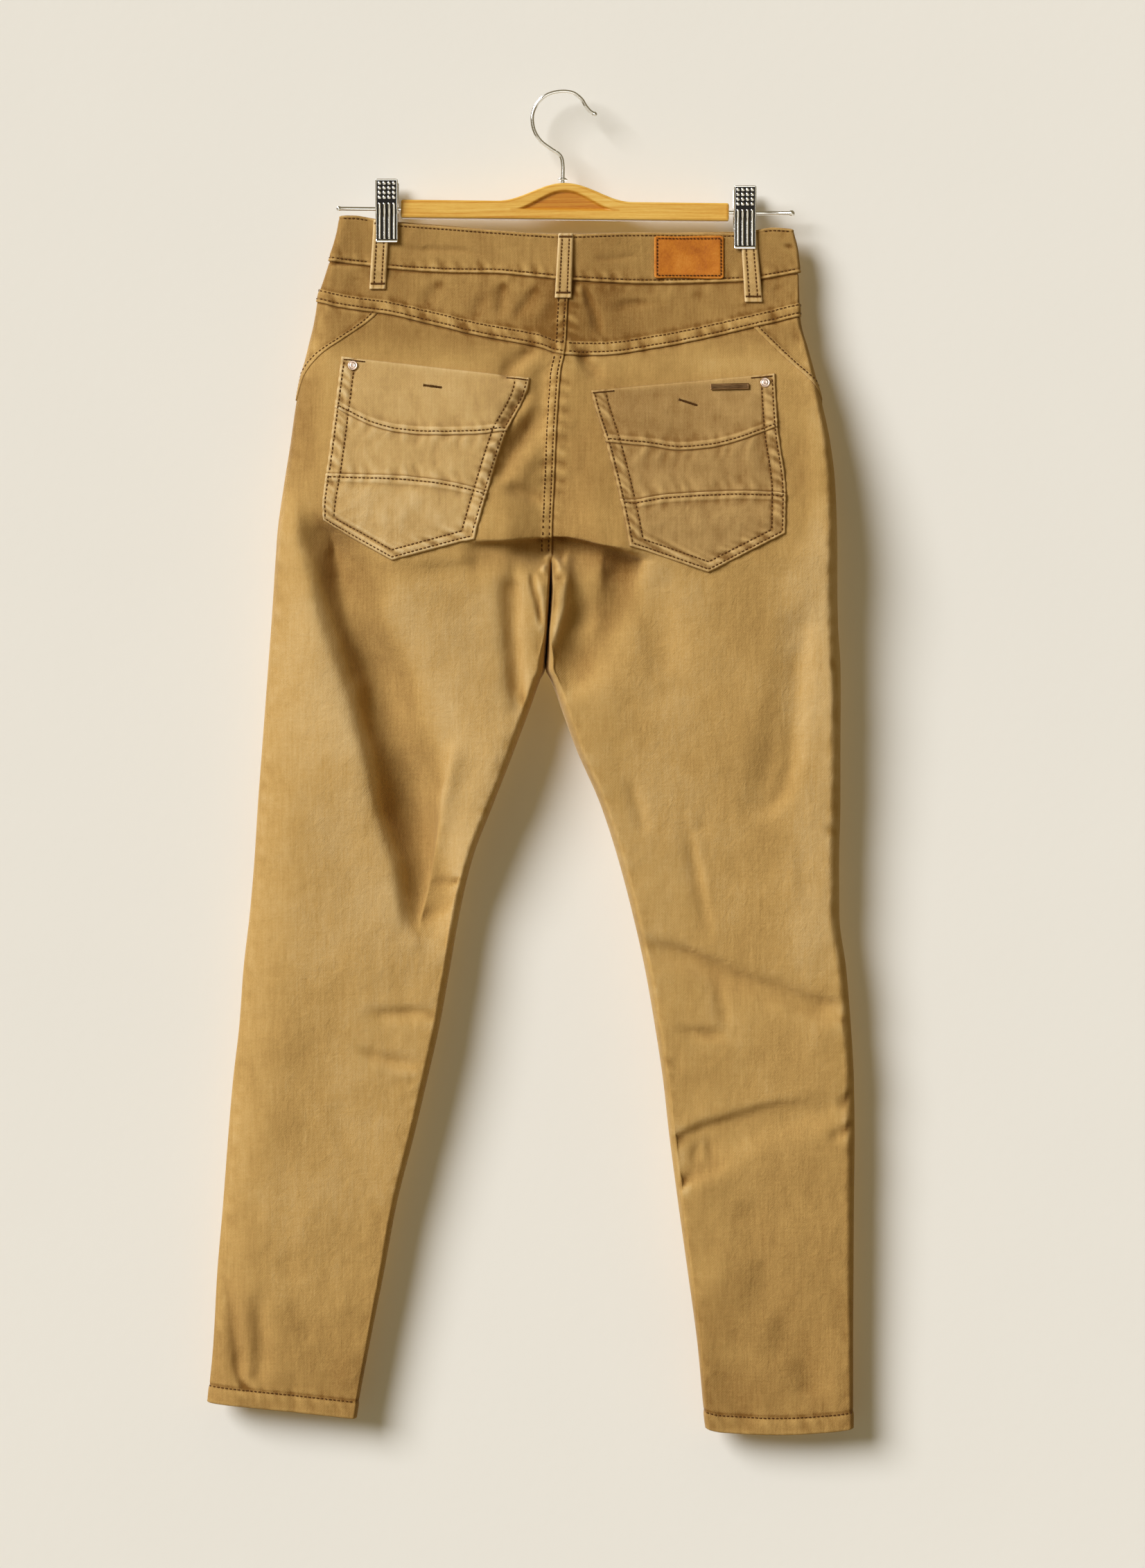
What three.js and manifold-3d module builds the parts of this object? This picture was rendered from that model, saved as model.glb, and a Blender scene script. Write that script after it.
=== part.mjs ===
// Slim five-pocket trousers clipped to a wooden hanger, held up by the hanger's hook.
// Millimetres, +Z up. The garment's back faces -Y, its fly faces +Y, and +X is the wearer's right.
// The origin is the inner top of the hook, where a rail would carry it.
import * as THREE from 'three';
import { mergeVertices } from 'three/addons/utils/BufferGeometryUtils.js';
import Module from 'manifold-3d';

const wasm = await Module();
wasm.setup();

// ---------------------------------------------------------------- driving sizes
const CLOTH = 1.2;          // wall of one panel
const BAND = 2.5;           // wall of the folded waistband
const BAND_PROUD = 1.2;     // how far the band's face stands out past the panels below it
const SEAM = 0.3;           // gap left between two sewn pieces
const LAID = 0.6;           // gap under a piece that lies on a panel
const LOOP = 1.8;           // wall of a belt loop
const PATCH = 1.4;          // wall of the leather patch
const HEM_Z = -1124;        // lowest point of the hems
const CROTCH_Z = -413.5;    // where the seat seam meets the inseams
const SEAT_END_Z = -385;    // the seat starts to part into legs here
const WIRE = 2.9;           // hook wire, diameter
const ROD = 3.3;            // clip rods, diameter
const BAR = { length: 275, height: 15.2, thick: 12, x: 1.75, z: -98.9, tilt: 0.0105, arch: 15.5, archHalf: 57 };
const CLIP = { width: 18.6, height: 52.6, thick: 1.6, nearJaw: -8.4, farJaw: 6.2, spread: 5 };

// ---------------------------------------------------------------- tables
// The long edges of the two halves seen from behind: out is a side seam, in is the centre seam or an inseam.
const OUTLINE = [
  { z: -97.4, outLeft: -185.0, inLeft: 5.8, inRight: 5.8, outRight: 190.2 },
  { z: -116.0, outLeft: -188.5, inLeft: 5.8, inRight: 5.8, outRight: 192.6 },
  { z: -134.6, outLeft: -193.7, inLeft: 5.5, inRight: 5.5, outRight: 196.6 },
  { z: -153.1, outLeft: -199.5, inLeft: 4.9, inRight: 4.9, outRight: 197.8 },
  { z: -171.7, outLeft: -205.3, inLeft: 4.1, inRight: 4.1, outRight: 198.4 },
  { z: -190.2, outLeft: -208.2, inLeft: 3.2, inRight: 3.2, outRight: 198.9 },
  { z: -213.4, outLeft: -213.7, inLeft: 2.0, inRight: 2.0, outRight: 205.3 },
  { z: -236.6, outLeft: -219.2, inLeft: -2.3, inRight: -2.3, outRight: 211.7 },
  { z: -259.8, outLeft: -223.6, inLeft: -4.1, inRight: -4.1, outRight: 217.2 },
  { z: -294.6, outLeft: -228.5, inLeft: -6.1, inRight: -6.1, outRight: 224.5 },
  { z: -329.4, outLeft: -234.0, inLeft: -7.5, inRight: -7.5, outRight: 228.5 },
  { z: -369.5, outLeft: -239.5, inLeft: -9.3, inRight: -9.3, outRight: 230.0 },
  { z: -387.4, outLeft: -240.7, inLeft: -9.7, inRight: -9.5, outRight: 230.3 },
  { z: -404.8, outLeft: -241.9, inLeft: -10.1, inRight: -9.6, outRight: 230.3 },
  { z: -413.5, outLeft: -242.4, inLeft: -10.6, inRight: -9.4, outRight: 230.3 },
  { z: -445.4, outLeft: -244.5, inLeft: -12.7, inRight: -11.1, outRight: 230.8 },
  { z: -479.7, outLeft: -247.1, inLeft: -15.6, inRight: -13.4, outRight: 232.9 },
  { z: -503.4, outLeft: -248.8, inLeft: -22.9, inRight: -5.8, outRight: 233.2 },
  { z: -549.8, outLeft: -252.3, inLeft: -40.0, inRight: 11.0, outRight: 232.9 },
  { z: -596.2, outLeft: -255.8, inLeft: -58.1, inRight: 31.3, outRight: 232.9 },
  { z: -642.6, outLeft: -258.7, inLeft: -75.7, inRight: 46.4, outRight: 231.8 },
  { z: -689.0, outLeft: -262.7, inLeft: -86.6, inRight: 58.6, outRight: 232.0 },
  { z: -735.4, outLeft: -268.0, inLeft: -94.8, inRight: 69.0, outRight: 237.8 },
  { z: -781.8, outLeft: -271.4, inLeft: -103.2, inRight: 77.1, outRight: 241.6 },
  { z: -828.2, outLeft: -276.7, inLeft: -113.7, inRight: 84.1, outRight: 244.2 },
  { z: -874.6, outLeft: -280.7, inLeft: -124.7, inRight: 89.3, outRight: 244.8 },
  { z: -932.6, outLeft: -285.1, inLeft: -139.4, inRight: 96.9, outRight: 244.2 },
  { z: -990.6, outLeft: -290.0, inLeft: -150.2, inRight: 105.0, outRight: 243.9 },
  { z: -1048.6, outLeft: -293.2, inLeft: -161.8, inRight: 112.8, outRight: 243.6 },
  { z: -1106.6, outLeft: -298.7, inLeft: -172.5, inRight: 118.3, outRight: 243.6 },
  { z: -1121.7, outLeft: -299.9, inLeft: -174.6, inRight: 120.1, outRight: 243.6 },
];
// How far the cloth stands out: back and front in the middle of a half, atBack and atFront on the centre seam,
// tip is how far in from the side seam the tube rounds over, ramp how far out from the centre seam it swells.
const DEPTH = [
  { z: -97, back: 4.4, front: 4.4, atBack: 9.0, atFront: 8.0, tip: 4.6, ramp: 120 },
  { z: -135, back: 4.6, front: 4.6, atBack: 9.5, atFront: 8.5, tip: 5.0, ramp: 120 },
  { z: -153, back: 6.0, front: 5.6, atBack: 11, atFront: 9.5, tip: 7.0, ramp: 110 },
  { z: -172, back: 9.0, front: 8.0, atBack: 14, atFront: 11, tip: 11, ramp: 100 },
  { z: -190, back: 12.5, front: 10, atBack: 17, atFront: 13, tip: 16, ramp: 90 },
  { z: -213, back: 17, front: 12, atBack: 20, atFront: 14, tip: 22, ramp: 75 },
  { z: -237, back: 21, front: 14, atBack: 22.5, atFront: 15, tip: 30, ramp: 65 },
  { z: -260, back: 25, front: 16, atBack: 24.5, atFront: 16, tip: 38, ramp: 60 },
  { z: -295, back: 30, front: 18, atBack: 26, atFront: 16, tip: 48, ramp: 50 },
  { z: -330, back: 34, front: 19, atBack: 27, atFront: 15, tip: 56, ramp: 45 },
  { z: -369, back: 38, front: 20, atBack: 26, atFront: 13, tip: 62, ramp: 42 },
  { z: -390, back: 38, front: 20, atBack: 17, atFront: 9, tip: 64, ramp: 42 },
  { z: -405, back: 37, front: 20, atBack: 8, atFront: 4, tip: 65, ramp: 42 },
  { z: -413.5, back: 36.5, front: 20, atBack: 0.4, atFront: 0.4, tip: 66, ramp: 42 },
  { z: -445, back: 34, front: 20, atBack: 0, atFront: 0, tip: 66, ramp: 42 },
  { z: -503, back: 31, front: 19.5, atBack: 0, atFront: 0, tip: 66, ramp: 42 },
  { z: -596, back: 27, front: 18, atBack: 0, atFront: 0, tip: 62, ramp: 42 },
  { z: -689, back: 23.5, front: 17, atBack: 0, atFront: 0, tip: 58, ramp: 42 },
  { z: -782, back: 22, front: 16, atBack: 0, atFront: 0, tip: 54, ramp: 42 },
  { z: -875, back: 19.5, front: 15, atBack: 0, atFront: 0, tip: 50, ramp: 42 },
  { z: -991, back: 16, front: 13, atBack: 0, atFront: 0, tip: 40, ramp: 42 },
  { z: -1060, back: 13.5, front: 11.5, atBack: 0, atFront: 0, tip: 30, ramp: 42 },
  { z: -1122, back: 12, front: 11, atBack: 0, atFront: 0, tip: 24, ramp: 42 },
];
// Largest folds: a line from (x0, z0) to (x1, z1) on one face, its half-width and height (minus is a trough).
const FOLDS = [
  { face: -1, x0: -218, z0: -300, x1: -212, z1: -380, width: 9, high: -3 },
  { face: -1, x0: -200, z0: -420, x1: -160, z1: -520, width: 16, high: -6 },
  { face: -1, x0: -160, z0: -520, x1: -126, z1: -690, width: 14, high: -5 },
  { face: -1, x0: -92, z0: -555, x1: -122, z1: -710, width: 9, high: 3 },
  { face: -1, x0: -43, z0: -418, x1: -36, z1: -515, width: 9, high: -4 },
  { face: -1, x0: 16, z0: -385, x1: 12, z1: -440, width: 12, high: -7 },
  { face: -1, x0: 12, z0: -440, x1: 4, z1: -500, width: 10, high: -4 },
  { face: -1, x0: 196, z0: -450, x1: 166, z1: -596, width: 14, high: -4 },
  { face: -1, x0: 80, z0: -418, x1: 86, z1: -478, width: 15, high: -4 },
  { face: -1, x0: 68, z0: -716, x1: 228, z1: -768, width: 9, high: -3 },
  { face: -1, x0: 92, z0: -896, x1: 218, z1: -852, width: 12, high: -3.5 },
  { face: -1, x0: -284, z0: -990, x1: -270, z1: -1065, width: 9, high: -3 },
  { face: -1, x0: -256, z0: -1016, x1: -254, z1: -1075, width: 9, high: -2.5 },
  { face: -1, x0: -16, z0: -238, x1: -19, z1: -290, width: 7, high: -3 },
  { face: -1, x0: 168, z0: -990, x1: 208, z1: -1080, width: 14, high: -2.5 },
  { face: 1, x0: -60, z0: -330, x1: -180, z1: -400, width: 14, high: -4 },
  { face: 1, x0: 45, z0: -340, x1: 170, z1: -430, width: 14, high: -4 },
  { face: 1, x0: -90, z0: -620, x1: -230, z1: -690, width: 11, high: -3 },
  { face: 1, x0: 80, z0: -700, x1: 215, z1: -650, width: 11, high: -3 },
  { face: 1, x0: -200, z0: -860, x1: -225, z1: -1040, width: 13, high: -3 },
  { face: 1, x0: 150, z0: -820, x1: 185, z1: -1020, width: 13, high: -3 },
];
// The seat hangs over the thigh along this line between the pockets: full above it, hollow just below.
const SEAT_FOLD = [{ x: -73, z: -376 }, { x: -42, z: -372 }, { x: -5, z: -369 }, { x: 33, z: -377 }, { x: 55, z: -383 }];
const SEAT_FOLD_SIZE = { full: 3, hollow: 6, reach: 16 };
// Seam lines across the garment, as height over x.
const TOP_BACK = [
  { x: -198, z: -103.2 }, { x: -175, z: -103.4 }, { x: -158, z: -106.1 }, { x: -137, z: -109.6 }, { x: -100, z: -112.5 },
  { x: -57, z: -116 }, { x: -28, z: -118.3 }, { x: 0, z: -119.7 }, { x: 67, z: -117.9 }, { x: 143, z: -118.1 },
  { x: 163, z: -115.4 }, { x: 176, z: -113.5 }, { x: 202, z: -115.5 },
];
const TOP_FRONT = [{ x: -198, z: -103.2 }, { x: -100, z: -111 }, { x: 0, z: -118 }, { x: 100, z: -117 }, { x: 202, z: -115.5 }];
const BAND_BACK = [
  { x: -204, z: -140.4 }, { x: -162, z: -145.6 }, { x: -135, z: -149 }, { x: -93, z: -151.4 }, { x: -58, z: -152 },
  { x: -28, z: -154.8 }, { x: 5, z: -158.2 }, { x: 68, z: -161 }, { x: 149, z: -158.9 }, { x: 197, z: -151.4 }, { x: 206, z: -150 },
];
const BAND_FRONT = [{ x: -204, z: -140.4 }, { x: -100, z: -150 }, { x: 0, z: -157 }, { x: 100, z: -157 }, { x: 206, z: -150 }];
const YOKE = [
  { x: -212, z: -173.6 }, { x: -183, z: -181.2 }, { x: -147, z: -186.4 }, { x: -115, z: -193.7 }, { x: -71, z: -204.5 },
  { x: -21, z: -214.2 }, { x: 2, z: -221 }, { x: 30, z: -221.5 }, { x: 75, z: -215.8 }, { x: 137, z: -203 }, { x: 201, z: -187.5 }, { x: 206, z: -186.4 },
];
// The hems, the left leg ending higher and slanted as it hangs.
const HEMS = {
  left: [{ x: -300, z: -1097.2 }, { x: -230, z: -1104.4 }, { x: -172, z: -1110.8 }],
  right: [{ x: 118, z: -1118.6 }, { x: 132, z: -1121.8 }, { x: 180, z: -1124 }, { x: 225, z: -1121.6 }, { x: 244, z: -1119 }],
};
// Hip seams on the back, and the front pocket mouths: x over height, both running out into the side seam.
const HIP_LEFT = [
  { z: -180, x: -151 }, { z: -190, x: -159.5 }, { z: -205, x: -180 }, { z: -220, x: -201.3 }, { z: -231, x: -211.6 }, { z: -241, x: -217.8 }, { z: -259.8, x: -223.5 },
];
const HIP_RIGHT = [
  { z: -190, x: 152.5 }, { z: -200, x: 161.8 }, { z: -214, x: 175.7 }, { z: -227.4, x: 189.7 }, { z: -237, x: 200.5 }, { z: -248.2, x: 211.6 }, { z: -259.8, x: 217.1 },
];
const MOUTH = [
  { z: -140, out: 104 }, { z: -160, out: 107 }, { z: -190, out: 120 }, { z: -215, out: 144 }, { z: -235, out: 177 }, { z: -247, out: 203 }, { z: -259.8, out: 223.5 },
];
// Back pockets: side edges as x over height, seams as height over x, tip is the pointed foot.
const POCKETS = {
  left: {
    side: -1,
    inner: [{ z: -235, x: -27.8 }, { z: -241, x: -27.8 }, { z: -286.5, x: -47 }, { z: -337, x: -62.6 }, { z: -375.3, x: -73.1 }, { z: -394, x: -77 }],
    outer: [{ z: -222, x: -184.6 }, { z: -265, x: -189.7 }, { z: -321, x: -196.6 }, { z: -359, x: -203.6 }, { z: -394, x: -208 }],
    top: [{ x: -186, z: -223 }, { x: -26, z: -241 }],
    bandSeam: [{ x: -190, z: -266 }, { x: -177, z: -272.8 }, { x: -159, z: -281.4 }, { x: -137, z: -287.1 }, { x: -107, z: -289.4 }, { x: -75, z: -288.8 }, { x: -46, z: -285.4 }],
    bodySeam: [{ x: -200, z: -321.3 }, { x: -169, z: -322.5 }, { x: -137, z: -323.6 }, { x: -104, z: -327.1 }, { x: -80, z: -331.8 }, { x: -62, z: -337 }],
    foot: [{ x: -203.6, z: -359 }, { x: -142.1, z: -393.8 }, { x: -73.1, z: -375.3 }],
    rivet: { x: -175.2, z: -230.8 },
  },
  right: {
    side: 1,
    inner: [{ z: -248, x: 23.4 }, { z: -252, x: 23.8 }, { z: -295, x: 36 }, { z: -342, x: 47.6 }, { z: -381, x: 55.1 }, { z: -404, x: 58 }],
    outer: [{ z: -234, x: 176.8 }, { z: -282, x: 179.2 }, { z: -337, x: 185.6 }, { z: -371, x: 185 }, { z: -404, x: 184 }],
    top: [{ x: 22, z: -251.9 }, { x: 178, z: -237.1 }],
    bandSeam: [{ x: 35, z: -295.2 }, { x: 71, z: -298.7 }, { x: 98, z: -302.2 }, { x: 121, z: -300.4 }, { x: 144, z: -295.2 }, { x: 166, z: -287.1 }, { x: 180, z: -281.8 }],
    bodySeam: [{ x: 47, z: -342.4 }, { x: 58, z: -343.4 }, { x: 82, z: -339.9 }, { x: 113, z: -337.6 }, { x: 144, z: -336.4 }, { x: 174, z: -337 }, { x: 186, z: -338.7 }],
    foot: [{ x: 55.1, z: -381.1 }, { x: 121.2, z: -403.7 }, { x: 185, z: -371.2 }],
    rivet: { x: 168.8, z: -245.3 },
  },
};
// Belt loops: x of both edges at the top and at the foot, and the two heights.
const LOOPS = [
  { name: 'belt_loop_back_left', face: -1, side: -1, x0: -158.3, x1: -145.4, foot0: -161.8, foot1: -148.5, top: -107.6, bottom: -165.3 },
  { name: 'belt_loop_back_centre', face: -1, side: 0, x0: -3.5, x1: 8.7, foot0: -6.4, foot1: 7.0, top: -119.6, bottom: -173.4 },
  { name: 'belt_loop_back_right', face: -1, side: 1, x0: 149.1, x1: 161.8, foot0: 152.5, foot1: 167.0, top: -116.9, bottom: -176.3 },
  { name: 'belt_loop_front_left', face: 1, side: -1, x0: -92, x1: -79, foot0: -92, foot1: -79, top: -113.5, bottom: -168 },
  { name: 'belt_loop_front_right', face: 1, side: 1, x0: 86, x1: 99, foot0: 86, foot1: 99, top: -117.6, bottom: -173 },
];
const LEATHER = { x0: 76.6, x1: 134.6, z0: -120.8, z1: -156.6 };
const LABEL_BAR = { x: 139.2, z: -248.9, width: 32.5, height: 5.2, thick: 0.9 };
const RIVET = { radius: 4.1, thick: 1.1 };
const BUTTON = { radius: 8.5, thick: 2.6, x: -8, z: -137 };
const FLY = { from: -13, to: 24, top: -160, bottom: -312 };
const UNDERLAP = { past: 24, sink: 3.4 };
// Centre line of the hook wire from the bar up, over and out to its end.
const HOOK = [
  { x: 0, z: -86 }, { x: 0, z: -72 }, { x: 0, z: -60 }, { x: -2.3, z: -52.2 }, { x: -10.4, z: -46.4 }, { x: -18, z: -40.6 }, { x: -23.2, z: -33.1 },
  { x: -25.5, z: -24.4 }, { x: -24.9, z: -15.8 }, { x: -20.3, z: -7.2 }, { x: -12.2, z: -1.0 }, { x: -1.2, z: 1.5 }, { x: 8.7, z: 0.2 },
  { x: 15.6, z: -5 }, { x: 19.4, z: -11 }, { x: 22.8, z: -15 }, { x: 26.7, z: -17.6 },
];

// ---------------------------------------------------------------- helpers
const clamp = (v, a, b) => Math.min(b, Math.max(a, v));
const mix = (a, b, t) => a + (b - a) * t;
const smooth = (t) => { const c = clamp(t, 0, 1); return c * c * (3 - 2 * c); };
const round = (t) => (t >= 1 ? 1 : Math.sqrt(Math.max(0, 1 - (1 - Math.max(t, 0)) ** 2)));

// A smooth curve through a table's column that never overshoots its rows.
function curve(rows, at, key) {
  const r = [...rows].sort((a, b) => a[at] - b[at]);
  const x = r.map((v) => v[at]), y = r.map((v) => v[key]), n = x.length;
  const slope = [];
  for (let i = 0; i < n - 1; i++) slope.push((y[i + 1] - y[i]) / (x[i + 1] - x[i]));
  const m = x.map((_, i) => {
    if (i === 0) return slope[0];
    if (i === n - 1) return slope[n - 2];
    return slope[i - 1] * slope[i] <= 0 ? 0 : (2 * slope[i - 1] * slope[i]) / (slope[i - 1] + slope[i]);
  });
  return (v) => {
    if (v <= x[0]) return y[0];
    if (v >= x[n - 1]) return y[n - 1];
    let i = 0;
    while (v > x[i + 1]) i++;
    const h = x[i + 1] - x[i], t = (v - x[i]) / h, t2 = t * t, t3 = t2 * t;
    return y[i] * (2 * t3 - 3 * t2 + 1) + m[i] * h * (t3 - 2 * t2 + t) + y[i + 1] * (3 * t2 - 2 * t3) + m[i + 1] * h * (t3 - t2);
  };
}
const line = (rows, v) => {
  for (let i = 0; i < rows.length - 1; i++) if (v <= rows[i + 1].x) return mix(rows[i].z, rows[i + 1].z, clamp((v - rows[i].x) / (rows[i + 1].x - rows[i].x), 0, 1));
  return rows[rows.length - 1].z;
};
const column = (rows, names) => Object.fromEntries(names.map((k) => [k, curve(rows, 'z', k)]));
const outline = column(OUTLINE, ['outLeft', 'inLeft', 'inRight', 'outRight']);
const deep = column(DEPTH, ['back', 'front', 'atBack', 'atFront', 'tip', 'ramp']);
const topBack = curve(TOP_BACK, 'x', 'z'), topFront = curve(TOP_FRONT, 'x', 'z');
const bandBack = curve(BAND_BACK, 'x', 'z'), bandFront = curve(BAND_FRONT, 'x', 'z');
const hem = { left: curve(HEMS.left, 'x', 'z'), right: curve(HEMS.right, 'x', 'z') };
const yoke = curve(YOKE, 'x', 'z'), seatFold = curve(SEAT_FOLD, 'x', 'z');
const edges = (side, z) => (side < 0 ? [outline.inLeft(z), outline.outLeft(z)] : [outline.inRight(z), outline.outRight(z)]);

function folds(face, x, z) {
  let h = 0;
  for (const f of FOLDS) {
    if (f.face !== face) continue;
    const dx = f.x1 - f.x0, dz = f.z1 - f.z0, len2 = dx * dx + dz * dz;
    const t = ((x - f.x0) * dx + (z - f.z0) * dz) / len2, c = clamp(t, 0, 1);
    const d2 = ((x - f.x0 - c * dx) ** 2 + (z - f.z0 - c * dz) ** 2) / (f.width * f.width);
    if (d2 < 9) h += f.high * Math.exp(-d2);
  }
  if (face < 0) {
    const d = z - seatFold(x), s = SEAT_FOLD_SIZE;
    const along = smooth((x + 86) / 22) * smooth((68 - x) / 22);
    if (Math.abs(d) < 3 * s.reach) h += along * (d > 0 ? s.full * Math.exp(-((d / s.reach) ** 2)) : -s.hollow * Math.exp(-(((d + 9) / s.reach) ** 2)) + (s.full + s.hollow * Math.exp(-((9 / s.reach) ** 2))) * Math.exp(-((d / 4) ** 2)));
  }
  return h;
}
// How far out a face of one half is at (x, z).
function standing(side, face, x, z) {
  const [inn, out] = edges(side, z), wide = Math.abs(out - inn);
  const a = clamp((x - inn) * side, 0, wide), b = wide - a;
  const full = face < 0 ? deep.back(z) : deep.front(z), mid = face < 0 ? deep.atBack(z) : deep.atFront(z);
  const legs = smooth((SEAT_END_Z - z) / (SEAT_END_Z - CROTCH_Z));
  const tip = Math.min(deep.tip(z), wide * 0.5);
  const ramp = mix(smooth(a / deep.ramp(z)), round(a / tip), legs);
  return (mid + (full - mid) * ramp + folds(face, x, z) * mix(1, ramp, legs)) * round(b / tip);
}
// One face of a half at one height, as a polyline from the centre to the side, read by its length.
const STEPS = 56;
const cache = new Map();
function strip(side, face, z) {
  const key = `${side} ${face} ${z.toFixed(3)}`;
  let s = cache.get(key);
  if (s) return s;
  const [inn, out] = edges(side, z);
  const xs = [], ys = [], run = [0];
  for (let i = 0; i <= STEPS; i++) {
    const x = mix(inn, out, (1 - Math.cos((Math.PI * i) / STEPS)) / 2);
    xs.push(x);
    ys.push(face * (i === STEPS ? 0 : standing(side, face, x, z)));
    if (i) run.push(run[i - 1] + Math.hypot(xs[i] - xs[i - 1], ys[i] - ys[i - 1]));
  }
  s = { xs, ys, run, length: run[STEPS] };
  if (cache.size > 60000) cache.clear();
  cache.set(key, s);
  return s;
}
// A point of the garment: around is 0 at the centre of the back, 1 at the side seam and 2 at the centre of the front.
function spot(side, around, z) {
  const face = around <= 1 ? -1 : 1, s = strip(side, face, z);
  const want = clamp(around <= 1 ? around : 2 - around, 0, 1) * s.length;
  let i = 0;
  while (i < STEPS - 1 && s.run[i + 1] < want) i++;
  const t = clamp((want - s.run[i]) / (s.run[i + 1] - s.run[i] || 1), 0, 1);
  return new THREE.Vector3(mix(s.xs[i], s.xs[i + 1], t), mix(s.ys[i], s.ys[i + 1], t), z);
}
const aroundOf = (side, face, x, z) => {
  const s = strip(side, face, z);
  const v = (x - s.xs[0]) * side;
  let i = 0;
  while (i < STEPS - 1 && (s.xs[i + 1] - s.xs[0]) * side < v) i++;
  const t = clamp((x - s.xs[i]) / (s.xs[i + 1] - s.xs[i] || 1), 0, 1), q = mix(s.run[i], s.run[i + 1], t) / s.length;
  return face < 0 ? q : 2 - q;
};
const perMm = (side, around, z) => 1 / strip(side, around <= 1 ? -1 : 1, z).length;
function outward(side, around, z) {
  const e = 0.5 * perMm(side, around, z);
  const a = spot(side, clamp(around - e, 0, 2), z), b = spot(side, clamp(around + e, 0, 2), z);
  const u = spot(side, around, z + 0.5), d = spot(side, around, z - 0.5);
  return b.sub(a).cross(u.sub(d)).normalize().multiplyScalar(side);
}

const material = (color, roughness, metalness = 0) => new THREE.MeshStandardMaterial({ color, roughness, metalness });
const MAT = {
  cloth: material(0xb28c52, 0.9), trim: material(0xc2a064, 0.9), leather: material(0xb16e2d, 0.6), wood: material(0xe3be6c, 0.55),
  chrome: material(0xc6c3bb, 0.2, 1), copper: material(0xc9a98c, 0.35, 1), bronze: material(0x674b2f, 0.5, 0.8),
};
const group = new THREE.Group();
const add = (name, geometry, mat) => {
  const mesh = new THREE.Mesh(geometry, mat);
  mesh.name = name;
  group.add(mesh);
  return mesh;
};

// A cloth wall: at(s, t) gives a place on the garment, outer and inner how far its two faces lie off it.
function cloth(name, mat, cols, rows, at, outer = 0, inner = -CLOTH) {
  const lift = (v, s, t) => (typeof v === 'function' ? v(s, t) : v);
  const pos = [], index = [], w = cols.length, h = rows.length, half = w * h;
  for (const layer of [outer, inner]) for (const t of rows) for (const s of cols) {
    const { side, around, z } = at(s, t);
    const p = spot(side, around, z).addScaledVector(outward(side, around, z), lift(layer, s, t));
    pos.push(p.x, p.y, p.z);
  }
  const quad = (a, b, c, d) => index.push(a, b, c, a, c, d);
  const id = (i, j) => j * w + i;
  for (let j = 0; j < h - 1; j++) for (let i = 0; i < w - 1; i++) {
    quad(id(i, j), id(i, j + 1), id(i + 1, j + 1), id(i + 1, j));
    quad(half + id(i, j), half + id(i + 1, j), half + id(i + 1, j + 1), half + id(i, j + 1));
  }
  for (let i = 0; i < w - 1; i++) {
    quad(id(i, 0), id(i + 1, 0), half + id(i + 1, 0), half + id(i, 0));
    quad(id(i + 1, h - 1), id(i, h - 1), half + id(i, h - 1), half + id(i + 1, h - 1));
  }
  for (let j = 0; j < h - 1; j++) {
    quad(id(0, j + 1), id(0, j), half + id(0, j), half + id(0, j + 1));
    quad(id(w - 1, j), id(w - 1, j + 1), half + id(w - 1, j + 1), half + id(w - 1, j));
  }
  let volume = 0;
  const v = (k) => new THREE.Vector3().fromArray(pos, 3 * k);
  for (let k = 0; k < index.length; k += 3) volume += v(index[k]).dot(v(index[k + 1]).cross(v(index[k + 2])));
  if (volume < 0) for (let k = 0; k < index.length; k += 3) [index[k + 1], index[k + 2]] = [index[k + 2], index[k + 1]];
  const g = new THREE.BufferGeometry();
  g.setAttribute('position', new THREE.Float32BufferAttribute(pos, 3));
  g.setIndex(index);
  return add(name, g, mat);
}
const even = (n) => Array.from({ length: n + 1 }, (_, i) => i / n);
const closeAtEnds = (n, k = 0.5) => even(n).map((u) => mix(u, (1 - Math.cos(Math.PI * u)) / 2, k));
// Row positions of a long panel as fractions of its height: each entry is a step used down to a height.
const ROWS = (top, steps) => {
  const zs = [top];
  for (const [until, step] of steps) while (zs[zs.length - 1] - step > until - step / 2) zs.push(zs[zs.length - 1] - step);
  zs[zs.length - 1] = HEM_Z;
  return zs.map((z) => (top - z) / (top - HEM_Z));
};
const BACK_ROWS = ROWS(-200, [[-262, 9], [-520, 30], [HEM_Z, 60]]);
const FRONT_ROWS = ROWS(-152, [[-260, 10], [-520, 48], [HEM_Z, 72]]);
// A panel between two lines that run down it and two that cross it.
const panel = (side, from, to, top, bottom) => (s, t) => {
  let z = -400, around = 1;
  for (let k = 0; k < 14; k++) {
    around = mix(from(z), to(z), s);
    const x = spot(side, around, z).x;
    z = mix(z, mix(top(x, around), bottom(x, around), t), k ? 0.8 : 1);
  }
  return { side, around, z };
};
// A piece laid out by x on one face.
const laid = (side, face, left, right, top, bottom) => (s, t) => {
  let z = mix(top(mix(left(-200), right(-200), s), s), bottom(mix(left(-200), right(-200), s), s), t), x = 0;
  for (let k = 0; k < 10; k++) {
    x = mix(left(z), right(z), s);
    z = mix(top(x, s), bottom(x, s), t);
  }
  return { side, around: aroundOf(side, face, x, z), z };
};

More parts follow.
